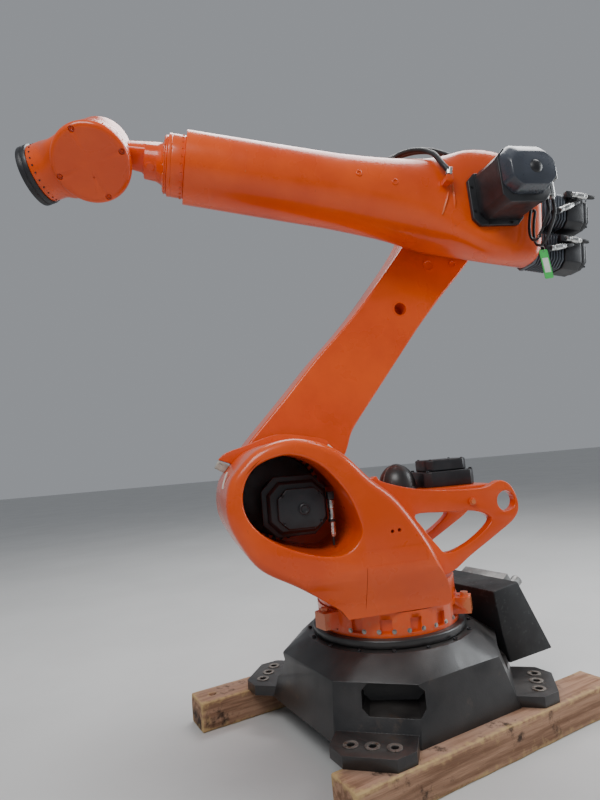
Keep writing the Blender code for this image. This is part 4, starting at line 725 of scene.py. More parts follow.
# The stop rib's rim, as angles and reaches round the shoulder
STOP_RIB = [
    (35.6, 0.2279), (44.8, 0.2200), (60.8, 0.1970), (77.7, 0.1940), (92.0, 0.2023), (105.3, 0.2110),
    (121.7, 0.2279), (135.8, 0.2581), (142.3, 0.2701),
]


def on_column(shares):
    """Shares of the column's reach and height as places on its side, for a shape that faces +Y."""
    rise = SHOULDER.z - RING_TOP
    return [(min(x, 1) * SHOULDER.x + max(x - 1, 0) * REACH_PAST,
             -(RING_TOP + min(z, 1) * rise + max(z - 1, 0) * RISE_PAST)) for x, z in shares]


def round_shoulder(reach, degrees):
    """Place on the column's side at a reach and angle from the shoulder, for a shape that faces +Y."""
    x, z = polar(reach, degrees, (SHOULDER.x, SHOULDER.z))
    return (x, -z)


def side(outline):
    """Turn (x, z) points into an outline for a shape that faces +Y."""
    return [(x, -z) for x, z in outline]


def column_outline():
    """Outline of the column's side, for a shape that faces +Y."""
    return curve_through(on_column(COLUMN_CURVE), 5) + on_column(COLUMN_FOOT)


def column():
    """Teardrop column with a soft wide rim, its deep opening, the round neck and the stop rib."""
    faces_y = FACING["+Y"]
    body = slab(column_outline(), COLUMN_FAR, COLUMN_NEAR, faces_y)
    round_edges(body, 0.027, 7, 60)
    body = combined(body, slab(UNDERCUT, -0.35, 0.70, LYING), "DIFFERENCE")
    foot = RING_TOP + 0.3 * MM
    neck = soften([(0, foot), (NECK_RADIUS, foot), (NECK_RADIUS, 0.372), (0, 0.380)], 0.004, 3)
    body = combined(body, lathe(neck, steps=96))
    rib = curve_through([round_shoulder(reach, degrees) for degrees, reach in STOP_RIB], 3)
    rib += [round_shoulder(0.240, 145)] + [round_shoulder(0.150, a) for a in range(145, 37, -6)]
    body = combined(body, slab(rib, RIB_FAR, RIB_NEAR, faces_y, 0.003, 2))
    opening = closed_curve(on_column(OPENING), 5)
    body = combined(body, slab(opening, OPENING_FLOOR, 0.310, faces_y), "DIFFERENCE")
    body = bored(body, OPENING_RADIUS, OPENING_FLOOR, 0.170, lie(FLAT, SHOULDER, "+Y"), 96, 0.004, 2)
    round_edges(body, 0.007, 4, 55, lambda e: min(v.co.y for v in e.verts) > COLUMN_NEAR - 0.5 * MM)
    for x, z in SMALL_BORES:
        body = bored(body, 0.0055, -0.02, 0.02, lie(FLAT, (x, COLUMN_NEAR, z), "+Y"), 20, 0.001)
    for outline, floor in ((LABEL_RECESS, COLUMN_NEAR - 1 * MM), (SEAM, COLUMN_NEAR - 40 * MM)):
        body = combined(body, slab(side(outline), floor, 0.300, faces_y), "DIFFERENCE")
    piece("column_shell", body, ORANGE, "column", 32, ("column_casting",))
    seat_ring()


def seat_ring():
    """Bolted ring at the bottom of the opening, and the gear flange on it."""
    ring = lathe(sleeve(0.1348, 0.1472, -0.0197, 0.004, 0.001), lie(FLAT, SHOULDER, "+Y"), 96)
    piece("shoulder_seat_ring", ring, ORANGE, "column")
    spots = ring_of(FLAT, SHOULDER + Vector((0, 0.004, 0)), "+Y", 0.1410, 36)
    bolt_row("shoulder_ring_bolts", spots, 0.0050, "column")
    refined("shoulder_gear_flange", CAST_BLACK, 0.002, 2)
    spots = ring_of(FLAT, SHOULDER + Vector((0, 0.0083, 0)), "+Y", 0.120, 20, 9)
    bolt_row("gear_flange_bolts", spots, 0.006, "column")


def stops():
    """Buffers at both ends of the column's stop rib, and a pale bent strip under the front one.

    The strip stands for the drum's machined edge, and its pale colour is partly painted highlight.
    """
    refined("front_stop_buffer", BUFFER_GREY, 0.003, 2)
    refined("rear_stop_buffer", PALE_BUFFER_AND_STRIP_HIGHLIGHT, 0.003, 2)
    # The strip's pale colour stands for the drum's pale grey machined edge and also paints in the highlight
    # that edge catches.
    strip = [round_shoulder(0.2005, a) for a in range(27, 9, -3)]
    strip += [round_shoulder(0.1965, a) for a in range(12, 30, 3)]
    piece("bent_strip", slab(strip, 0.120, 0.142, FACING["+Y"], 0.001, 1), PALE_BUFFER_AND_STRIP_HIGHLIGHT, "column")


COVER_TOP = 0.1829
SHOULDER_PLUG = (0.2137, 0.1596, 0)


def shoulder_drive():
    """Shoulder motor with its stepped cover and round cap."""
    refined("shoulder_motor", MOTOR_BLACK, 0.004, 2)
    faces_y = FACING["+Y"]
    bm = bmesh.new()
    slab(chamfered(0.206, 0.186, 0.042, (0.328, -0.646)), 0.1369, 0.1500, faces_y, 0.003, 3, bm)
    step = slab(chamfered(0.186, 0.160, 0.038, (0.322, -0.643)), 0.1505, 0.1660, faces_y)
    round_edges(step, 0.009, 1, 60, lambda e: min(v.co.y for v in e.verts) > 0.1655)
    round_edges(step, 0.0015, 2, 30)
    merge(bm, step)
    slab(chamfered(0.150, 0.124, 0.030, (0.312, -0.638)), 0.1665, COVER_TOP, faces_y, 0.005, 4, bm)
    cap = [(0, 0.1820), (0.017, 0.1820), (0.017, 0.1900), (0.012, 0.1919), (0.010, 0.1885), (0, 0.1885)]
    lathe(soften(cap, 0.0015, 2), lie(FLAT, (0.306, 0, 0.636), "+Y"), 32, bm)
    piece("shoulder_cover_steps", bm, MOTOR_BLACK, "column", 32, ("shoulder_motor_cover",))
    spots = [lie(FLAT, (x, COVER_TOP, z), "+Y") for x in (0.254, 0.370) for z in (0.596, 0.680)]
    bolt_row("shoulder_cover_screws", spots, 0.0042, "column", BOLT_DARK, "socket")
    shoulder_plug()


def shoulder_plug():
    """Bright plug that hangs from a black box beside the shoulder motor, with its band and cable end."""
    upright = Matrix.Translation(SHOULDER_PLUG)
    bm = slab(rectangle(0.022, 0.0247, (SHOULDER_PLUG[0], -0.6676)), 0.149, 0.170, FACING["+Y"], 0.003, 2)
    piece("shoulder_plug_box", bm, MOTOR_BLACK, "column")
    bm = lathe(soften([(0, 0.541), (0.0065, 0.541), (0.0065, 0.545), (0.009, 0.547), (0.009, 0.585),
                       (0.011, 0.587), (0.011, 0.594), (0.009, 0.596), (0.009, 0.626), (0.011, 0.628),
                       (0.011, 0.652), (0.008, 0.6548), (0, 0.6548)], 0.0008, 2), upright, 32)
    piece("shoulder_plug", bm, SILVER, "column", 32, ("shoulder_connector",))
    bm = lathe(drum(0.0113, 0.5865, 0.5945, 0.0006, 1), upright, 24)
    lathe(drum(0.0042, 0.514, 0.5407, 0.0006, 1), upright, 20, bm)
    piece("shoulder_plug_band", bm, RUBBER, "column")


PLATE_CURVE = [
    (0.2, 1.233), (0.14, 1.116), (-0.163, 0.971), (-0.48, 0.934), (-0.857, 0.922), (-1.034, 0.973),
    (-1.15, 0.9), (-1.194, 0.737), (-1.131, 0.624), (-0.917, 0.502), (-0.637, 0.356), (-0.483, 0.263),
    (-0.35, 0.216),
]
PLATE_ROOT = [(0, 0.27), (0.5, 0.307), (0.6, 1)]
PLATE_GAP = [
    (-0.14, 0.754), (-0.43, 0.748), (-0.734, 0.73), (-0.89, 0.657), (-0.831, 0.573), (-0.626, 0.456),
    (-0.411, 0.403), (-0.309, 0.491), (-0.2, 0.635),
]
PLATE_THICK = 0.034
PLATE_EYE = (-0.3742, 0, 0.5969)
TURN_MOTOR_X = -0.236
DOME_X = -0.066
DECK_Y = 0.0385


def rear_frame():
    """Rear side plates with rounded edges, and the boss and bolt on the near one."""
    faces_y = FACING["+Y"]
    keep_out = column_outline()
    for name, low in (("rear_plate_near", 0.171), ("rear_plate_far", COLUMN_FAR)):
        outline = curve_through(on_column(PLATE_CURVE), 4) + on_column(PLATE_ROOT)
        body = slab(outline, low, low + PLATE_THICK, faces_y)
        under, over = low - 0.02, low + 0.06
        gap = closed_curve(on_column(PLATE_GAP), 4)
        body = combined(body, slab(gap, under, over, faces_y), "DIFFERENCE")
        body = bored(body, 0.033, under, over, lie(FLAT, PLATE_EYE, "+Y"), 40)
        round_edges(body, 0.006, 4, 60)
        body = combined(body, slab(keep_out, under, over, faces_y), "DIFFERENCE")
        piece(name + "_cast", body, ORANGE, "column", 32, (name,))
    boss = lathe(drum(0.013, 0, 0.006, 0.0015, 2), lie(FLAT, (-0.248, 0.205, 0.606), "+Y"), 24)
    piece("plate_boss", boss, ORANGE, "column")
    bolt_row("plate_bolt", [lie(FLAT, (-0.248, 0.2111, 0.606), "+Y")], 0.008, "column", ORANGE)


def rear_deck():
    """Deck between the plates, with the turning motor and the dome on it."""
    refined("rear_deck", ORANGE, 0.003, 2)
    refined("turn_motor", MOTOR_BLACK, 0.004, 3)
    refined("turn_motor_cover", MOTOR_BLACK, 0.006, 4)
    spots = [(TURN_MOTOR_X + a * 0.060, DECK_Y + b * 0.046, 0.7470) for a in (-1, 1) for b in (-1, 1)]
    bolt_row("turn_cover_screws", [lie(FLAT, spot) for spot in spots], 0.0045, "column", BOLT_DARK, "socket")
    spots = [(TURN_MOTOR_X + a * 0.082, DECK_Y + b * 0.058, 0.7073) for a in (-1, 1) for b in (-1, 1)]
    bolt_row("turn_motor_bolts", [lie(FLAT, spot) for spot in spots], 0.006, "column")
    dome = [(0, 0.6553), (0.066, 0.6553), (0.066, 0.664)]
    dome += [(r * 0.064, 0.665 + h * 0.078) for r, h in arc(1, range(0, 90, 6))]
    place = shift(DOME_X, DECK_Y, 0)
    dome = lathe(dome + [(0, 0.743)], place, 64)
    piece("dome_shell", dome, CAST_BLACK, "column", 32, ("balance_dome",))
    strap = [(r * 0.0652, 0.665 + h * 0.0792) for r, h in arc(1, range(0, 181, 6))]
    strap += [(r * 0.972, z - 0.0015) for r, z in reversed(strap)]
    strap = slab(strap, -0.0025, 0.0025, place @ turn("Z", 20) @ turn("X", 90))
    piece("dome_rib", strap, CAST_BLACK, "column")


LUGS_DEG = (20, 147)
RING_PITCH_DEG = 11.25
RING_BOLTS = 32


def turning_ring():
    """Slotted ring with its two lugs and the small bolts below its slots."""
    refined("turning_ring", ORANGE, 0.0022, 2)
    angles = [RING_PITCH_DEG * (number + 0.5) for number in range(RING_BOLTS)]
    clear = [angle for angle in angles if all(abs((angle - lug + 180) % 360 - 180) > 14 for lug in LUGS_DEG)]
    bolt_row("ring_bolts", on_wall(FLAT, 0.2355, 0.2505, clear), 0.0052, "column", BOLT_BRIGHT)
    for name, degrees in zip(("lug_bolt_front", "lug_bolt_rear"), LUGS_DEG):
        place = turn("Z", degrees) @ shift(0.2602, 0, 0.3011)
        bolt_row(name, [place], 0.014, "column", ORANGE)


# Link, with its outline as shares of its length and of its head's radius
LINK_FAR, LINK_NEAR = -0.355, -0.140
LINK_FOOT = 0.165
LINK_HEAD = 0.160
LINK_HOLE = (0.887, 0, 0.024)
LINK_FRONT = [
    (0.073, -1.06), (0.222, -0.956), (0.393, -0.87), (0.481, -0.77), (0.593, -0.694), (0.815, -0.672),
    (0.911, -0.72),
]
LINK_REAR = [
    (0.867, 0.94), (0.807, 0.888), (0.756, 0.85), (0.652, 0.8), (0.296, 0.8), (0.26, 0.825), (0.207, 1.006),
]


def link():
    """Box-section link with wide soft edges, its bosses and the bearing covers on its right side."""
    outline = arc(LINK_FOOT, range(84, 265, 15))
    outline += [(x * LINK_LENGTH, z * LINK_HEAD) for x, z in LINK_FRONT]
    outline += arc(LINK_HEAD, range(-100, 97, 14), (LINK_LENGTH, 0))
    outline += [(x * LINK_LENGTH, z * LINK_HEAD) for x, z in LINK_REAR]
    body = slab(side(soften(outline, 0.060, 3, True)), LINK_FAR, LINK_NEAR, LINK @ FACING["+Y"])
    round_edges(body, 0.024, 7, 50)
    body = bored(body, 0.0245, LINK_NEAR - 0.060, LINK_NEAR + 0.020, lie(LINK, LINK_HOLE, "+Y"), 32)
    piece("link_shell", body, ORANGE, "link", 32, ("link_arm",))
    rim = lathe(sleeve(0.0247, 0.0290, -0.158, -0.1385, 0.001, 2), lie(LINK, LINK_HOLE, "+Y"), 40)
    piece("link_hole_rim", rim, ORANGE, "link")
    bm = bmesh.new()
    for x, z, radius in ((1.1178, 0.0227, 0.026), (1.191, 0.1022, 0.016)):
        lathe(soften([(0, -0.141), (radius, -0.141), (radius, -0.1365), (radius * 0.72, -0.1365),
                      (radius * 0.62, -0.1385), (0, -0.1385)], 0.001, 2), lie(LINK, (x, 0, z), "+Y"), 32, bm)
    piece("link_bosses", bm, ORANGE, "link")
    refined("link_shoulder_hub", CAST_BLACK, 0.002, 2)
    refined("link_elbow_hub", CAST_BLACK, 0.002, 2)
    for name, x, radius, count in (("shoulder_cover", 0, 0.150, 18), ("elbow_cover", LINK_LENGTH, 0.122, 14)):
        bm = lathe(soften([(0, 0.354), (radius, 0.354), (radius, 0.360), (radius * 0.86, 0.364),
                           (radius * 0.62, 0.364), (radius * 0.58, 0.361), (0, 0.361)], 0.002, 3),
                   lie(LINK, (x, 0, 0), "-Y"), 80)
        piece(name, bm, ORANGE, "link")
        spots = ring_of(LINK, (x, -0.3610, 0), "-Y", radius * 0.93, count)
        bolt_row(name + "_bolts", spots, 0.0062, "link")


# Forearm
def egg(x, low, high, bottom, top, square, count=96):
    """Closed section of the forearm at one x: round at a square of 2, boxy above it."""
    a, b = (high - low) / 2, (top - bottom) / 2
    y, z = (high + low) / 2, (top + bottom) / 2
    points = []
    for i in range(count):
        angle = TURN * i / count
        c, s = math.cos(angle), math.sin(angle)
        reach = (abs(c / a) ** square + abs(s / b) ** square) ** (-1 / square)
        points.append(Vector((x, y + reach * c, z + reach * s)))
    return points


# Each row is x, low y, high y, low z, high z and squareness
FOREARM_SECTIONS = (
    (1.094, -0.122, 0.122, -0.163, 0.081, 2), (1.00, -0.1235, 0.1235, -0.1645, 0.0825, 2),
    (0.80, -0.127, 0.127, -0.168, 0.086, 2), (0.68, -0.128, 0.1295, -0.1705, 0.0885, 2),
    (0.562, -0.128, 0.132, -0.173, 0.091, 2), (0.46, -0.128, 0.137, -0.179, 0.096, 2.05),
    (0.37, -0.128, 0.144, -0.186, 0.102, 2.1), (0.30, -0.128, 0.150, -0.194, 0.109, 2.2),
    (0.24, -0.128, 0.1555, -0.202, 0.115, 2.4), (0.19, -0.128, 0.160, -0.210, 0.122, 2.8),
    (0.15, -0.128, 0.165, -0.218, 0.129, 3.6), (0.125, -0.128, 0.168, -0.2245, 0.134, 4.6),
    (0.10, -0.128, 0.1697, -0.2315, 0.139, 5.6), (0.07, -0.128, 0.1697, -0.241, 0.144, 6.4),
    (0.03, -0.128, 0.1697, -0.254, 0.148, 7), (-0.01, -0.128, 0.1697, -0.264, 0.149, 7),
    (-0.06, -0.128, 0.1697, -0.2675, 0.1455, 7), (-0.11, -0.128, 0.1697, -0.267, 0.140, 7),
    (-0.15, -0.128, 0.1697, -0.263, 0.135, 7), (-0.175, -0.1275, 0.169, -0.261, 0.1315, 6.5),
    (-0.192, -0.125, 0.1665, -0.257, 0.128, 6), (-0.203, -0.120, 0.162, -0.250, 0.122, 5.5),
    (-0.2095, -0.113, 0.155, -0.241, 0.115, 5), (-0.212, -0.104, 0.146, -0.232, 0.106, 5),
)
# The housing's underside rises towards its far side
UNDERSIDE_LOW = -0.268
UNDERSIDE_EDGE = 0.080
UNDERSIDE_SLOPE = 0.4952
UNDERSIDE_BLEND = 0.012


def forearm():
    """One smooth casting from the round tube to the boxy elbow housing, and what is fixed to it."""
    body = loft([egg(*section) for section in FOREARM_SECTIONS])
    for corner in body.verts:
        slope = UNDERSIDE_LOW + UNDERSIDE_SLOPE * (UNDERSIDE_EDGE - corner.co.y)
        near = max(UNDERSIDE_BLEND - abs(corner.co.z - slope), 0) / UNDERSIDE_BLEND
        corner.co.z = max(corner.co.z, slope) + near * near * UNDERSIDE_BLEND / 4
    bmesh.ops.transform(body, matrix=FOREARM, verts=body.verts)
    piece("forearm_casting", body, ORANGE, "forearm", 40, ("forearm_housing", "forearm_tube"))
    hexagon_bosses()

    ends = bmesh.new()
    for x, first, last in ((0.894, -21, 16), (0.679, -18, 18)):
        outline = arc(0.1262, range(first, last + 1, 2)) + arc(0.118, range(last, first - 1, -2))
        loft([[TUBE @ Vector((x + thick, y, z)) for y, z in outline] for thick in (0.002, 0)], ends)
    piece("bare_plate_ends", ends, ORANGE, "forearm")

    ring = soften([(0, 1.0943), (0.1015, 1.0943), (0.103, 1.0965), (0.103, 1.1365), (0.1018, 1.1375),
                   (0.1018, 1.1395), (0.103, 1.1405), (0.103, 1.150), (0.1015, 1.152), (0, 1.152)], 0.0012, 2)
    along = TUBE @ FACING["+X"]
    piece("wrist_ring_turned", lathe(ring, along, 96), ORANGE, "forearm", 32, ("wrist_ring",))
    spots = on_wall(along, 0.1028, 1.1050, range(6, 366, 15))
    bolt_row("wrist_ring_screws", spots, 0.0036, "forearm", ORANGE, "socket")
    hose_ends()
    clamps()
    gussets()


def hexagon_bosses():
    """Three small raised plugs along the near side of the tube."""
    bm = bmesh.new()
    sockets = []
    for x, degrees, reach in ((0.5021, 4.6, 0.1345), (0.3708, -1.7, 0.1425), (0.2826, -15.3, 0.1490)):
        place = TUBE @ shift(x, 0, 0) @ turn("X", degrees) @ lie(FLAT, (0, reach, 0), "+Y")
        lathe(soften([(0, -0.012), (0.0115, -0.012), (0.0115, 0.0035), (0.0085, 0.0045), (0.0065, 0.0030),
                      (0.0060, -0.004), (0, -0.004)], 0.0010, 2), place, 28, bm)
        sockets.append(place @ shift(0, 0, -0.004))
    piece("hexagon_bosses", bm, ORANGE, "forearm")
    bolt_row("hexagon_plugs", sockets, 0.0048, "forearm", ORANGE)


def hose_ends():
    """Fittings and blocks that the two hoses end in."""
    bm = bmesh.new()
    for x, y, top, low in ((0.345, -0.060, 0.0997, 0.060), (0.325, -0.022, 0.1157, 0.080)):
        lathe(soften([(0, low), (0.017, low), (0.017, top - 0.017), (0.0135, top - 0.015),
                      (0.0135, top - 0.009), (0.0155, top - 0.007), (0.0155, top), (0, top)], 0.0012, 2),
              FOREARM @ shift(x, y, 0), 32, bm)
    piece("hose_fittings", bm, SILVER, "forearm")
    bm = bmesh.new()
    slab(rectangle(0.026, 0.026, (-0.111, 0.004)), 0.120, 0.183, FOREARM, 0.003, 2, bm)
    slab(rectangle(0.026, 0.030, (0.190, 0.188)), -0.042, -0.016, FOREARM, 0.003, 2, bm)
    slab(rectangle(0.022, 0.030, (0.190, 0.165)), -0.040, -0.019, FOREARM, 0.002, 2, bm)
    piece("hose_blocks", bm, ORANGE, "forearm")


def clamps():
    """Bright bands round the two hoses, with their screws and saddles."""
    bm = bmesh.new()
    for route, number, radius in ((LONG_HOSE, 10, LONG_RADIUS), (LONG_HOSE, 12, LONG_RADIUS),
                                  (SHORT_HOSE, 12, SHORT_RADIUS)):
        here, after = Vector(route[number]), Vector(route[number + 1])
        way = (after - here).normalized().to_track_quat("Z", "Y").to_matrix().to_4x4()
        lathe(sleeve(radius + 0.2 * MM, radius + 2 * MM, -0.007, 0.007, 0.0006),
              FOREARM @ Matrix.Translation(here) @ way, 32, bm)
    piece("hose_clamps", bm, SILVER, "forearm")
    bm = bmesh.new()
    screws = []
    for x, y, z, low in ((0.045, 0.004, 0.175, 0.143), (-0.050, 0.004, 0.170, 0.140)):
        slab(rectangle(0.016, 0.020, (x, y)), low, z - 0.0120, FOREARM, 0.002, 2, bm)
        slab(rectangle(0.016, 0.014, (x, y + 0.0215)), low, z - 0.004, FOREARM, 0.002, 2, bm)
        screws.append(FOREARM @ shift(x, y + 0.0215, z - 0.004))
    piece("clamp_saddles", bm, SILVER, "forearm")
    bolt_row("clamp_screws", screws, 0.0050, "forearm", SILVER)
    tall = FOREARM @ shift(0.190, 0.2045, -0.004) @ FACING["+Y"]
    bm = slab(rectangle(0.012, 0.024), -0.003, 0.003, tall, 0.001, 1)
    piece("fitting_tab", bm, SILVER, "forearm")


def gussets():
    """Two tapered pleats where the tube meets the elbow housing."""
    bm = bmesh.new()
    for x0, x1, z0, z1 in ((0.168, 0.190, -0.030, -0.140), (0.160, 0.143, -0.030, -0.150)):
        rows = []
        for t in (0.0, 0.25, 0.5, 0.75, 1.0):
            x, z = x0 + (x1 - x0) * t, z0 + (z1 - z0) * t
            reach = 0.0060 * math.sin(math.pi * (0.15 + 0.85 * t)) + 0.0005
            width = 0.0035 + 0.004 * math.sin(math.pi * t)
            y = 0.1610 if x > 0.165 else 0.1645
            y -= 0.012 * max(0.0, (-0.10 - z) / 0.05)
            rows.append([Vector((x - width, y - 0.006, z)), Vector((x - width * 0.4, y + reach * 0.8, z)),
                         Vector((x, y + reach, z)), Vector((x + width * 0.4, y + reach * 0.8, z)),
                         Vector((x + width, y - 0.006, z))])
        loft(rows, bm)
    bmesh.ops.transform(bm, matrix=FOREARM, verts=bm.verts)
    piece("pleats", bm, ORANGE, "forearm", 60)


def elbow_drive():
    """Elbow motor: its eight-sided plate with bolts, tapering body, domed lid and ball cap."""
    faces_y = DRIVE @ FACING["+Y"]
    refined("elbow_motor_plate", MOTOR_BLACK, 0.003, 3)
    corners = ((0.091, -0.045), (0.091, 0.045), (-0.050, -0.0885), (0.040, -0.0885))
    spots = [lie(DRIVE, (x, 0.1863, z), "+Y") for x, z in corners]
    bolt_row("elbow_plate_bolts", spots, 0.0046, "forearm", BOLT_DARK)
    body = []
    for y, width, height in ((0.1866, 0.184, 0.186), (0.215, 0.178, 0.180), (0.300, 0.178, 0.180),
                             (0.3300, 0.184, 0.186)):
        outline = chamfered(width, height, 0.026, (-0.015, -0.013))
        body.append([faces_y @ Vector((a, b, y)) for a, b in outline])
    bm = loft(body)
    round_edges(bm, 0.003, 3)
    piece("elbow_motor_body", bm, MOTOR_BLACK, "forearm", 32, ("elbow_motor",))
    rows = []
    for y, t in ((0.3309, 0), (0.3380, 0.05), (0.3500, 0.28), (0.3600, 0.52), (0.3680, 0.76), (0.3715, 0.90),
                 (0.3729, 1)):
        lid = chamfered(0.180 - 0.019 * t, 0.167 - 0.058 * t, 0.034 - 0.004 * t,
                        (-0.0185 - 0.004 * t, -0.0285 + 0.015 * t))
        rows.append([faces_y @ Vector((a, b, y)) for a, b in soften(lid, 0.012, 4, True)])
    piece("elbow_lid", loft(rows), LID_BLUE, "forearm", 40, ("elbow_motor_cover",))
    ball = [(0, 0.360)] + [(r * 0.0245, 0.3680 + h * 0.0138) for r, h in arc(1, range(-30, 90, 10))]
    ball = lathe(ball + [(0, 0.3818)], lie(DRIVE, (-0.031, 0, 0.0195), "+Y"), 40)
    piece("elbow_ball_cap", ball, MOTOR_BLACK, "forearm", 60)
    elbow_plugs()


def elbow_plugs():
    """Two bright plugs that hang from a block of the same bright finish beside the elbow motor, and the tie
    on their cables.
    """
    block = slab(rectangle(0.046, 0.034, (-0.132, PLUG_Y)), 0.030, 0.0555, DRIVE, 0.003, 2)
    shells, tops = bmesh.new(), bmesh.new()
    for number in range(2):
        place = DRIVE @ shift(PLUG_X - PLUG_PITCH * number, PLUG_Y, 0)
        lathe(soften([(0, -0.056), (0.0062, -0.056), (0.0062, -0.050), (0.0090, -0.048), (0.0090, -0.039),
                      (0.0104, -0.037), (0.0104, 0.007), (0.0094, 0.009), (0.0094, 0.017), (0.0104, 0.019),
                      (0.0104, 0.029), (0, 0.029)], 0.0008, 2), place, 28, shells)
        knob = [(0, 0.0555), (0.0100, 0.0555), (0.0100, 0.0685), (0.0070, 0.073), (0, 0.073)]
        lathe(soften(knob, 0.0010, 2), place, 24, tops)
    slab(rectangle(0.008, 0.040, (-0.1595, PLUG_Y)), 0.009, 0.079, DRIVE, 0.002, 2, shells)
    merge(shells, block)
    piece("elbow_plug_shells", shells, SILVER, "forearm", 32, ("elbow_sockets",))
    piece("elbow_plug_tops", tops, RUBBER, "forearm")
    tie = FOREARM @ shift(-0.1218, 0.256, -0.2225) @ turn("X", 70)
    piece("cable_band", lathe(sleeve(0.0052, 0.0066, -0.005, 0.005, 0.0004), tie, 20), SILVER, "forearm")


WRIST_MOTORS = ((0.066, -0.020), (-0.066, -0.020), (0.050, -0.176))
RIBS = 9
RIB_PITCH = 0.0122
# Each plug's start and tilt, on the side of its motor
REAR_PLUGS = (
    ("upper", 0.125, ((-0.3503, 0.029, 3), (-0.2963, -0.043, 29))),
    ("lower", 0.109, ((-0.3343, -0.143, 1), (-0.2683, -0.191, 16))),
)
PLUG_PROFILE = [
    (0, 0.0), (0.0112, 0.0), (0.0112, 0.014), (0.0098, 0.016), (0.0098, 0.020), (0.0119, 0.022),
    (0.0119, 0.052), (0.0105, 0.054), (0.0105, 0.066), (0.0090, 0.068), (0, 0.068),
]
BOOT_PROFILE = [
    (0, 0.0675), (0.0092, 0.0675), (0.0086, 0.082), (0.0074, 0.096), (0.0060, 0.1035), (0, 0.1035),
]


def wrist_drives():
    """Three ribbed motors with stepped covers."""
    for number, (y, z) in enumerate(WRIST_MOTORS, start=1):
        place = FOREARM @ Matrix(((0, 0, -1, 0), (1, 0, 0, y), (0, -1, 0, z), (0, 0, 0, 1)))
        ribs = bmesh.new()
        slab(chamfered(0.117, 0.141, 0.020), 0.2125, 0.228, place, 0.003, 2, ribs)
        slab(chamfered(0.104, 0.128, 0.024), 0.228, 0.345, place, 0.002, 1, ribs)
        for step in range(RIBS):
            low = 0.2345 + RIB_PITCH * step
            slab(chamfered(0.115, 0.139, 0.024), low, low + 0.0058, place, 0.0012, 1, ribs)
        piece(f"wrist_motor_{number}_ribs", ribs, RIB_GREY, "forearm", 32, (f"wrist_motor_{number}",))
        cover = bmesh.new()
        slab(chamfered(0.118, 0.142, 0.024), 0.3450, 0.418, place, 0.004, 3, cover)
        slab(chamfered(0.106, 0.128, 0.024), 0.4180, 0.440, place, 0.005, 3, cover)
        slab(chamfered(0.084, 0.100, 0.020), 0.4400, 0.4560, place, 0.004, 3, cover)
        piece(f"wrist_motor_{number}_cover", cover, MOTOR_BLACK, "forearm")
        spots = [place @ shift(0.044 * a, 0.054 * b, 0.4402) for a in (-1, 1) for b in (-1, 1)]
        bolt_row(f"wrist_motor_{number}_screws", spots, 0.0036, "forearm", BOLT_DARK, "socket")


def rear_plugs():
    """Bright plugs with rubber boots on two of the wrist motors."""
    faces_y = Matrix(((1, 0, 0, 0), (0, 0, 1, 0), (0, 1, 0, 0), (0, 0, 0, 1)))
    for label, side_y, plugs in REAR_PLUGS:
        blocks, shells, boots = bmesh.new(), bmesh.new(), bmesh.new()
        for x, z, tilt in plugs:
            start = FOREARM @ shift(x, side_y, z) @ turn("Y", tilt)
            slab(rectangle(0.030, 0.026, (0.010, 0)), 0.0003, 0.0200, start @ faces_y, 0.003, 2, blocks)
            place = start @ shift(0, 0.0143, 0) @ turn("Y", -90)
            lathe(soften(PLUG_PROFILE, 0.0008, 2), place, 28, shells)
            lathe(soften(BOOT_PROFILE, 0.0010, 2), place, 24, boots)
        piece(label + "_plug_blocks", blocks, MOTOR_BLACK, "forearm")
        piece(label + "_plug_shells", shells, SILVER, "forearm", 32, (label + "_wrist_sockets",))
        piece(label + "_plug_boots", boots, RUBBER, "forearm")


def tag():
    """Green card on a wire loop, with its bare pale window."""
    place = FOREARM @ shift(-0.144, 0.240, -0.2483) @ turn("Y", 14)
    lay = place @ FACING["+Y"]
    body = slab(soften(rectangle(0.034, 0.104, (0, 0.066)), 0.005, 3, True), -0.0009, 0.0009, lay)
    body = bored(body, 0.003, -0.01, 0.01, lay @ shift(0, 0.0195, 0), 16)
    piece("tag_card", body, TAG_GREEN, "forearm", 32, ("hanging_tag",))
    piece("tag_window", slab(rectangle(0.024, 0.052, (0, 0.070)), -0.0012, 0.0012, lay), TAG_PALE, "forearm")
    loop = place @ shift(0, 0, -0.0098) @ FACING["+Y"]
    wire = lathe(sleeve(0.0085, 0.0099, -0.0007, 0.0007, 0.0004), loop, 32)
    piece("tag_wire", wire, SILVER, "forearm")


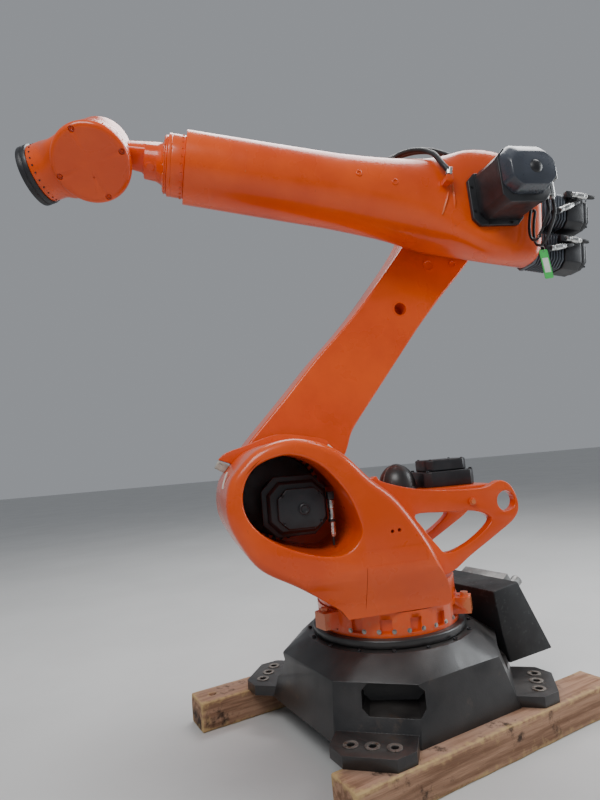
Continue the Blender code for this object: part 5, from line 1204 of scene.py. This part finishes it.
# Wrist, turned about its roll, bend and tool axes
def fork():
    """Rolling neck with its bolted flange, and the fork's arm and dome on the far side."""
    neck = lathe(soften([(0, 0.0003), (0.095, 0.0003), (0.095, 0.0055), (0.0940, 0.0062), (0.0940, 0.0070),
                         (0.095, 0.0077), (0.095, 0.0120), (0.076, 0.0135), (0.068, 0.020), (0.060, 0.036),
                         (0.058, 0.060), (0.057, 0.077), (0, 0.077)], 0.003, 3), lie(ROLL, facing="+X"), 80)
    rows = []
    for x, low, half in ((0.014, -0.088, 0.055), (0.036, -0.099, 0.0535), (0.060, -0.101, 0.0505),
                         (0.110, -0.101, 0.0445), (0.150, -0.101, 0.040), (0.1985, -0.101, 0.0345)):
        rows.append([ROLL @ p for p in egg(x, low, -0.006, -half, half, 4, 64)])
    body = combined(neck, loft(rows))
    dome = [(0, 0.0021), (0.0995, 0.0021), (0.0995, 0.030), (0.100, 0.085), (0.096, 0.100), (0.086, 0.112),
            (0.066, 0.1195), (0.050, 0.122), (0.046, 0.119), (0, 0.119)]
    dome = lathe(soften(dome, 0.006, 3), lie(ROLL, (BEND_START, 0, 0), "-Y"), 96)
    body = combined(body, dome)
    piece("fork_casting", body, ORANGE, "wrist_roll", 32, ("wrist_fork",))
    spots = ring_of(ROLL, (0.0120, 0, 0), "+X", 0.0862, 18, 4)
    bolt_row("neck_bolts", spots, 0.0042, "wrist_roll", ORANGE, "socket")
    spots = on_wall(lie(ROLL, facing="+X"), 0.0947, 0.0098, range(0, 360, 18))
    bolt_row("neck_rim_screws", spots, 0.0020, "wrist_roll", ORANGE, "socket")
    spots = ring_of(ROLL, (BEND_START, -0.1202, 0), "-Y", 0.058, 8)
    bolt_row("fork_cover_bolts", spots, 0.0050, "wrist_roll", ORANGE)
    bm = bmesh.new()
    for x, z in ((0.050, -0.049), (0.078, -0.046)):
        lathe(soften([(0, -0.012), (0.012, -0.012), (0.012, 0.006), (0.007, 0.008), (0, 0.008)], 0.001, 2),
              lie(ROLL, (x, -0.045, z), "-Z"), 24, bm)
    lathe(soften([(0, 0.030), (0.016, 0.030), (0.016, 0.0605), (0.012, 0.062), (0, 0.062)], 0.001, 2),
          lie(ROLL, (0.055, 0, 0), "+Y"), 28, bm)
    piece("neck_bosses", bm, ORANGE, "wrist_roll")


HEAD_PROFILE = [
    (0, -0.0017), (0.100, -0.0017), (0.108, 0.004), (0.1125, 0.028), (0.1112, 0.029), (0.1112, 0.0304),
    (0.1130, 0.0314), (0.1150, 0.056), (0.1136, 0.057), (0.1136, 0.0584), (0.1152, 0.0594), (0.1165, 0.086),
    (0.1140, 0.087), (0.1140, 0.089), (0.1165, 0.090), (0.1170, 0.117), (0, 0.117),
]
NOSE_SECTIONS = (
    (0.030, 0.008, 0.112, 0.112, 4), (0.070, 0.006, 0.110, 0.105, 4), (0.095, 0.003, 0.106, 0.099, 3.6),
    (0.116, -0.0005, 0.102, 0.096, 3.2), (0.134, -0.036, 0.098, 0.0945, 2.6),
    (0.150, -0.074, 0.095, 0.0935, 2.2), (0.164, -0.090, 0.0925, 0.093, 2.02),
    (0.2027, -0.0925, 0.0925, 0.0925, 2),
)


def head():
    """Bending head with turned grooves and its round nose."""
    body = lathe(soften(HEAD_PROFILE, 0.0012, 2), lie(HEAD, facing="+Y"), 128)
    rows = []
    for x, low, high, half, square in NOSE_SECTIONS:
        rows.append([HEAD @ p for p in egg(x, low, high, -half, half, square, 96)])
    body = combined(body, loft(rows))
    piece("head_casting", body, ORANGE, "wrist_bend", 32, ("wrist_head",))
    spots = on_wall(lie(HEAD, facing="+Y"), 0.1155, 0.074, range(-60, -312, -12))
    bolt_row("head_seam_screws", spots, 0.0026, "wrist_bend", ORANGE, "socket")
    spots = on_wall(lie(HEAD, facing="+X"), 0.0924, 0.190, range(0, 360, 15))
    bolt_row("nose_screws", spots, 0.0030, "wrist_bend", BOLT_DARK, "socket")


SMALL_HOLE = (0.0089, 0.1400, -0.0392)


def head_cover():
    """Round lid of the head with four bolt pockets and a small hole."""
    cover = lathe(soften([(0, 0.1183), (0.1245, 0.1183), (0.125, 0.1225), (0.1235, 0.130), (0.118, 0.1365),
                          (0.108, 0.1396), (0, 0.1400)], 0.004, 4), lie(HEAD, facing="+Y"), 128)
    pockets = [lie(HEAD, (x, 0.1290, z), "+Y") for x, z in arc(0.1086, (88.2, 178.2, 268.2, 358.2))]
    for place in pockets:
        cover = bored(cover, 0.0100, 0, 0.03, place, 28, 0.001, 2)
    cover = bored(cover, 0.0030, -0.006, 0.01, lie(HEAD, SMALL_HOLE, "+Y"))
    round_edges(cover, 0.0012, 2, 55, lambda e: (HEAD.inverted() @ e.verts[0].co).y > 0.1300)
    piece("head_lid", cover, ORANGE, "wrist_bend", 32, ("wrist_cover",))
    bolt_row("lid_bolts", pockets, 0.0058, "wrist_bend", ORANGE, "socket")


def flange():
    """Dark tool flange with its groove, bolt circles and pilot bore."""
    profile = soften([(0, -0.034), (0.098, -0.034), (0.098, -0.020), (0.096, -0.0185), (0.096, -0.0165),
                      (0.098, -0.015), (0.098, -0.002), (0.0965, 0), (0.090, 0), (0.090, -0.0045),
                      (0.078, -0.0045), (0.078, 0), (0.056, 0), (0.054, -0.004), (0.030, -0.004),
                      (0.029, -0.010), (0, -0.010)], 0.0012, 2)
    piece("flange_turned", lathe(profile, lie(TOOL, facing="+X"), 112), MOTOR_BLACK, "tool", 32,
          ("tool_flange",))
    spots = ring_of(TOOL, (-0.0044, 0, 0), "+X", 0.084, 24)
    bolt_row("flange_bolts", spots, 0.0040, "tool", BOLT_DARK, "socket")
    spots = ring_of(TOOL, (-0.0039, 0, 0), "+X", 0.046, 10, 18)
    bolt_row("flange_hub_bolts", spots, 0.0048, "tool", BOLT_DARK, "socket")


def dress_all():
    """Make every piece."""
    cords()
    bearers()
    base()
    connection_box()
    turning_ring()
    column()
    stops()
    shoulder_drive()
    rear_frame()
    rear_deck()
    link()
    forearm()
    elbow_drive()
    wrist_drives()
    rear_plugs()
    tag()
    fork()
    head()
    head_cover()
    flange()


CAD_FINISHES = {
    "orange_paint": ORANGE, "black_cast": CAST_BLACK, "motor_black": MOTOR_BLACK, "pale_metal": SILVER,
    "buffer_grey": BUFFER_GREY, "cable_black": RUBBER, "tag_green": TAG_GREEN, "timber": TIMBER,
}


def carry_over():
    """Give every CAD node that still shows the finish of its slot."""
    for name, node in frame["nodes"].items():
        finish = CAD_FINISHES[slot_of(name)]
        for number in range(len(node.data.materials)):
            node.data.materials[number] = finish


photo_camera()
studio()
dress_all()
carry_over()
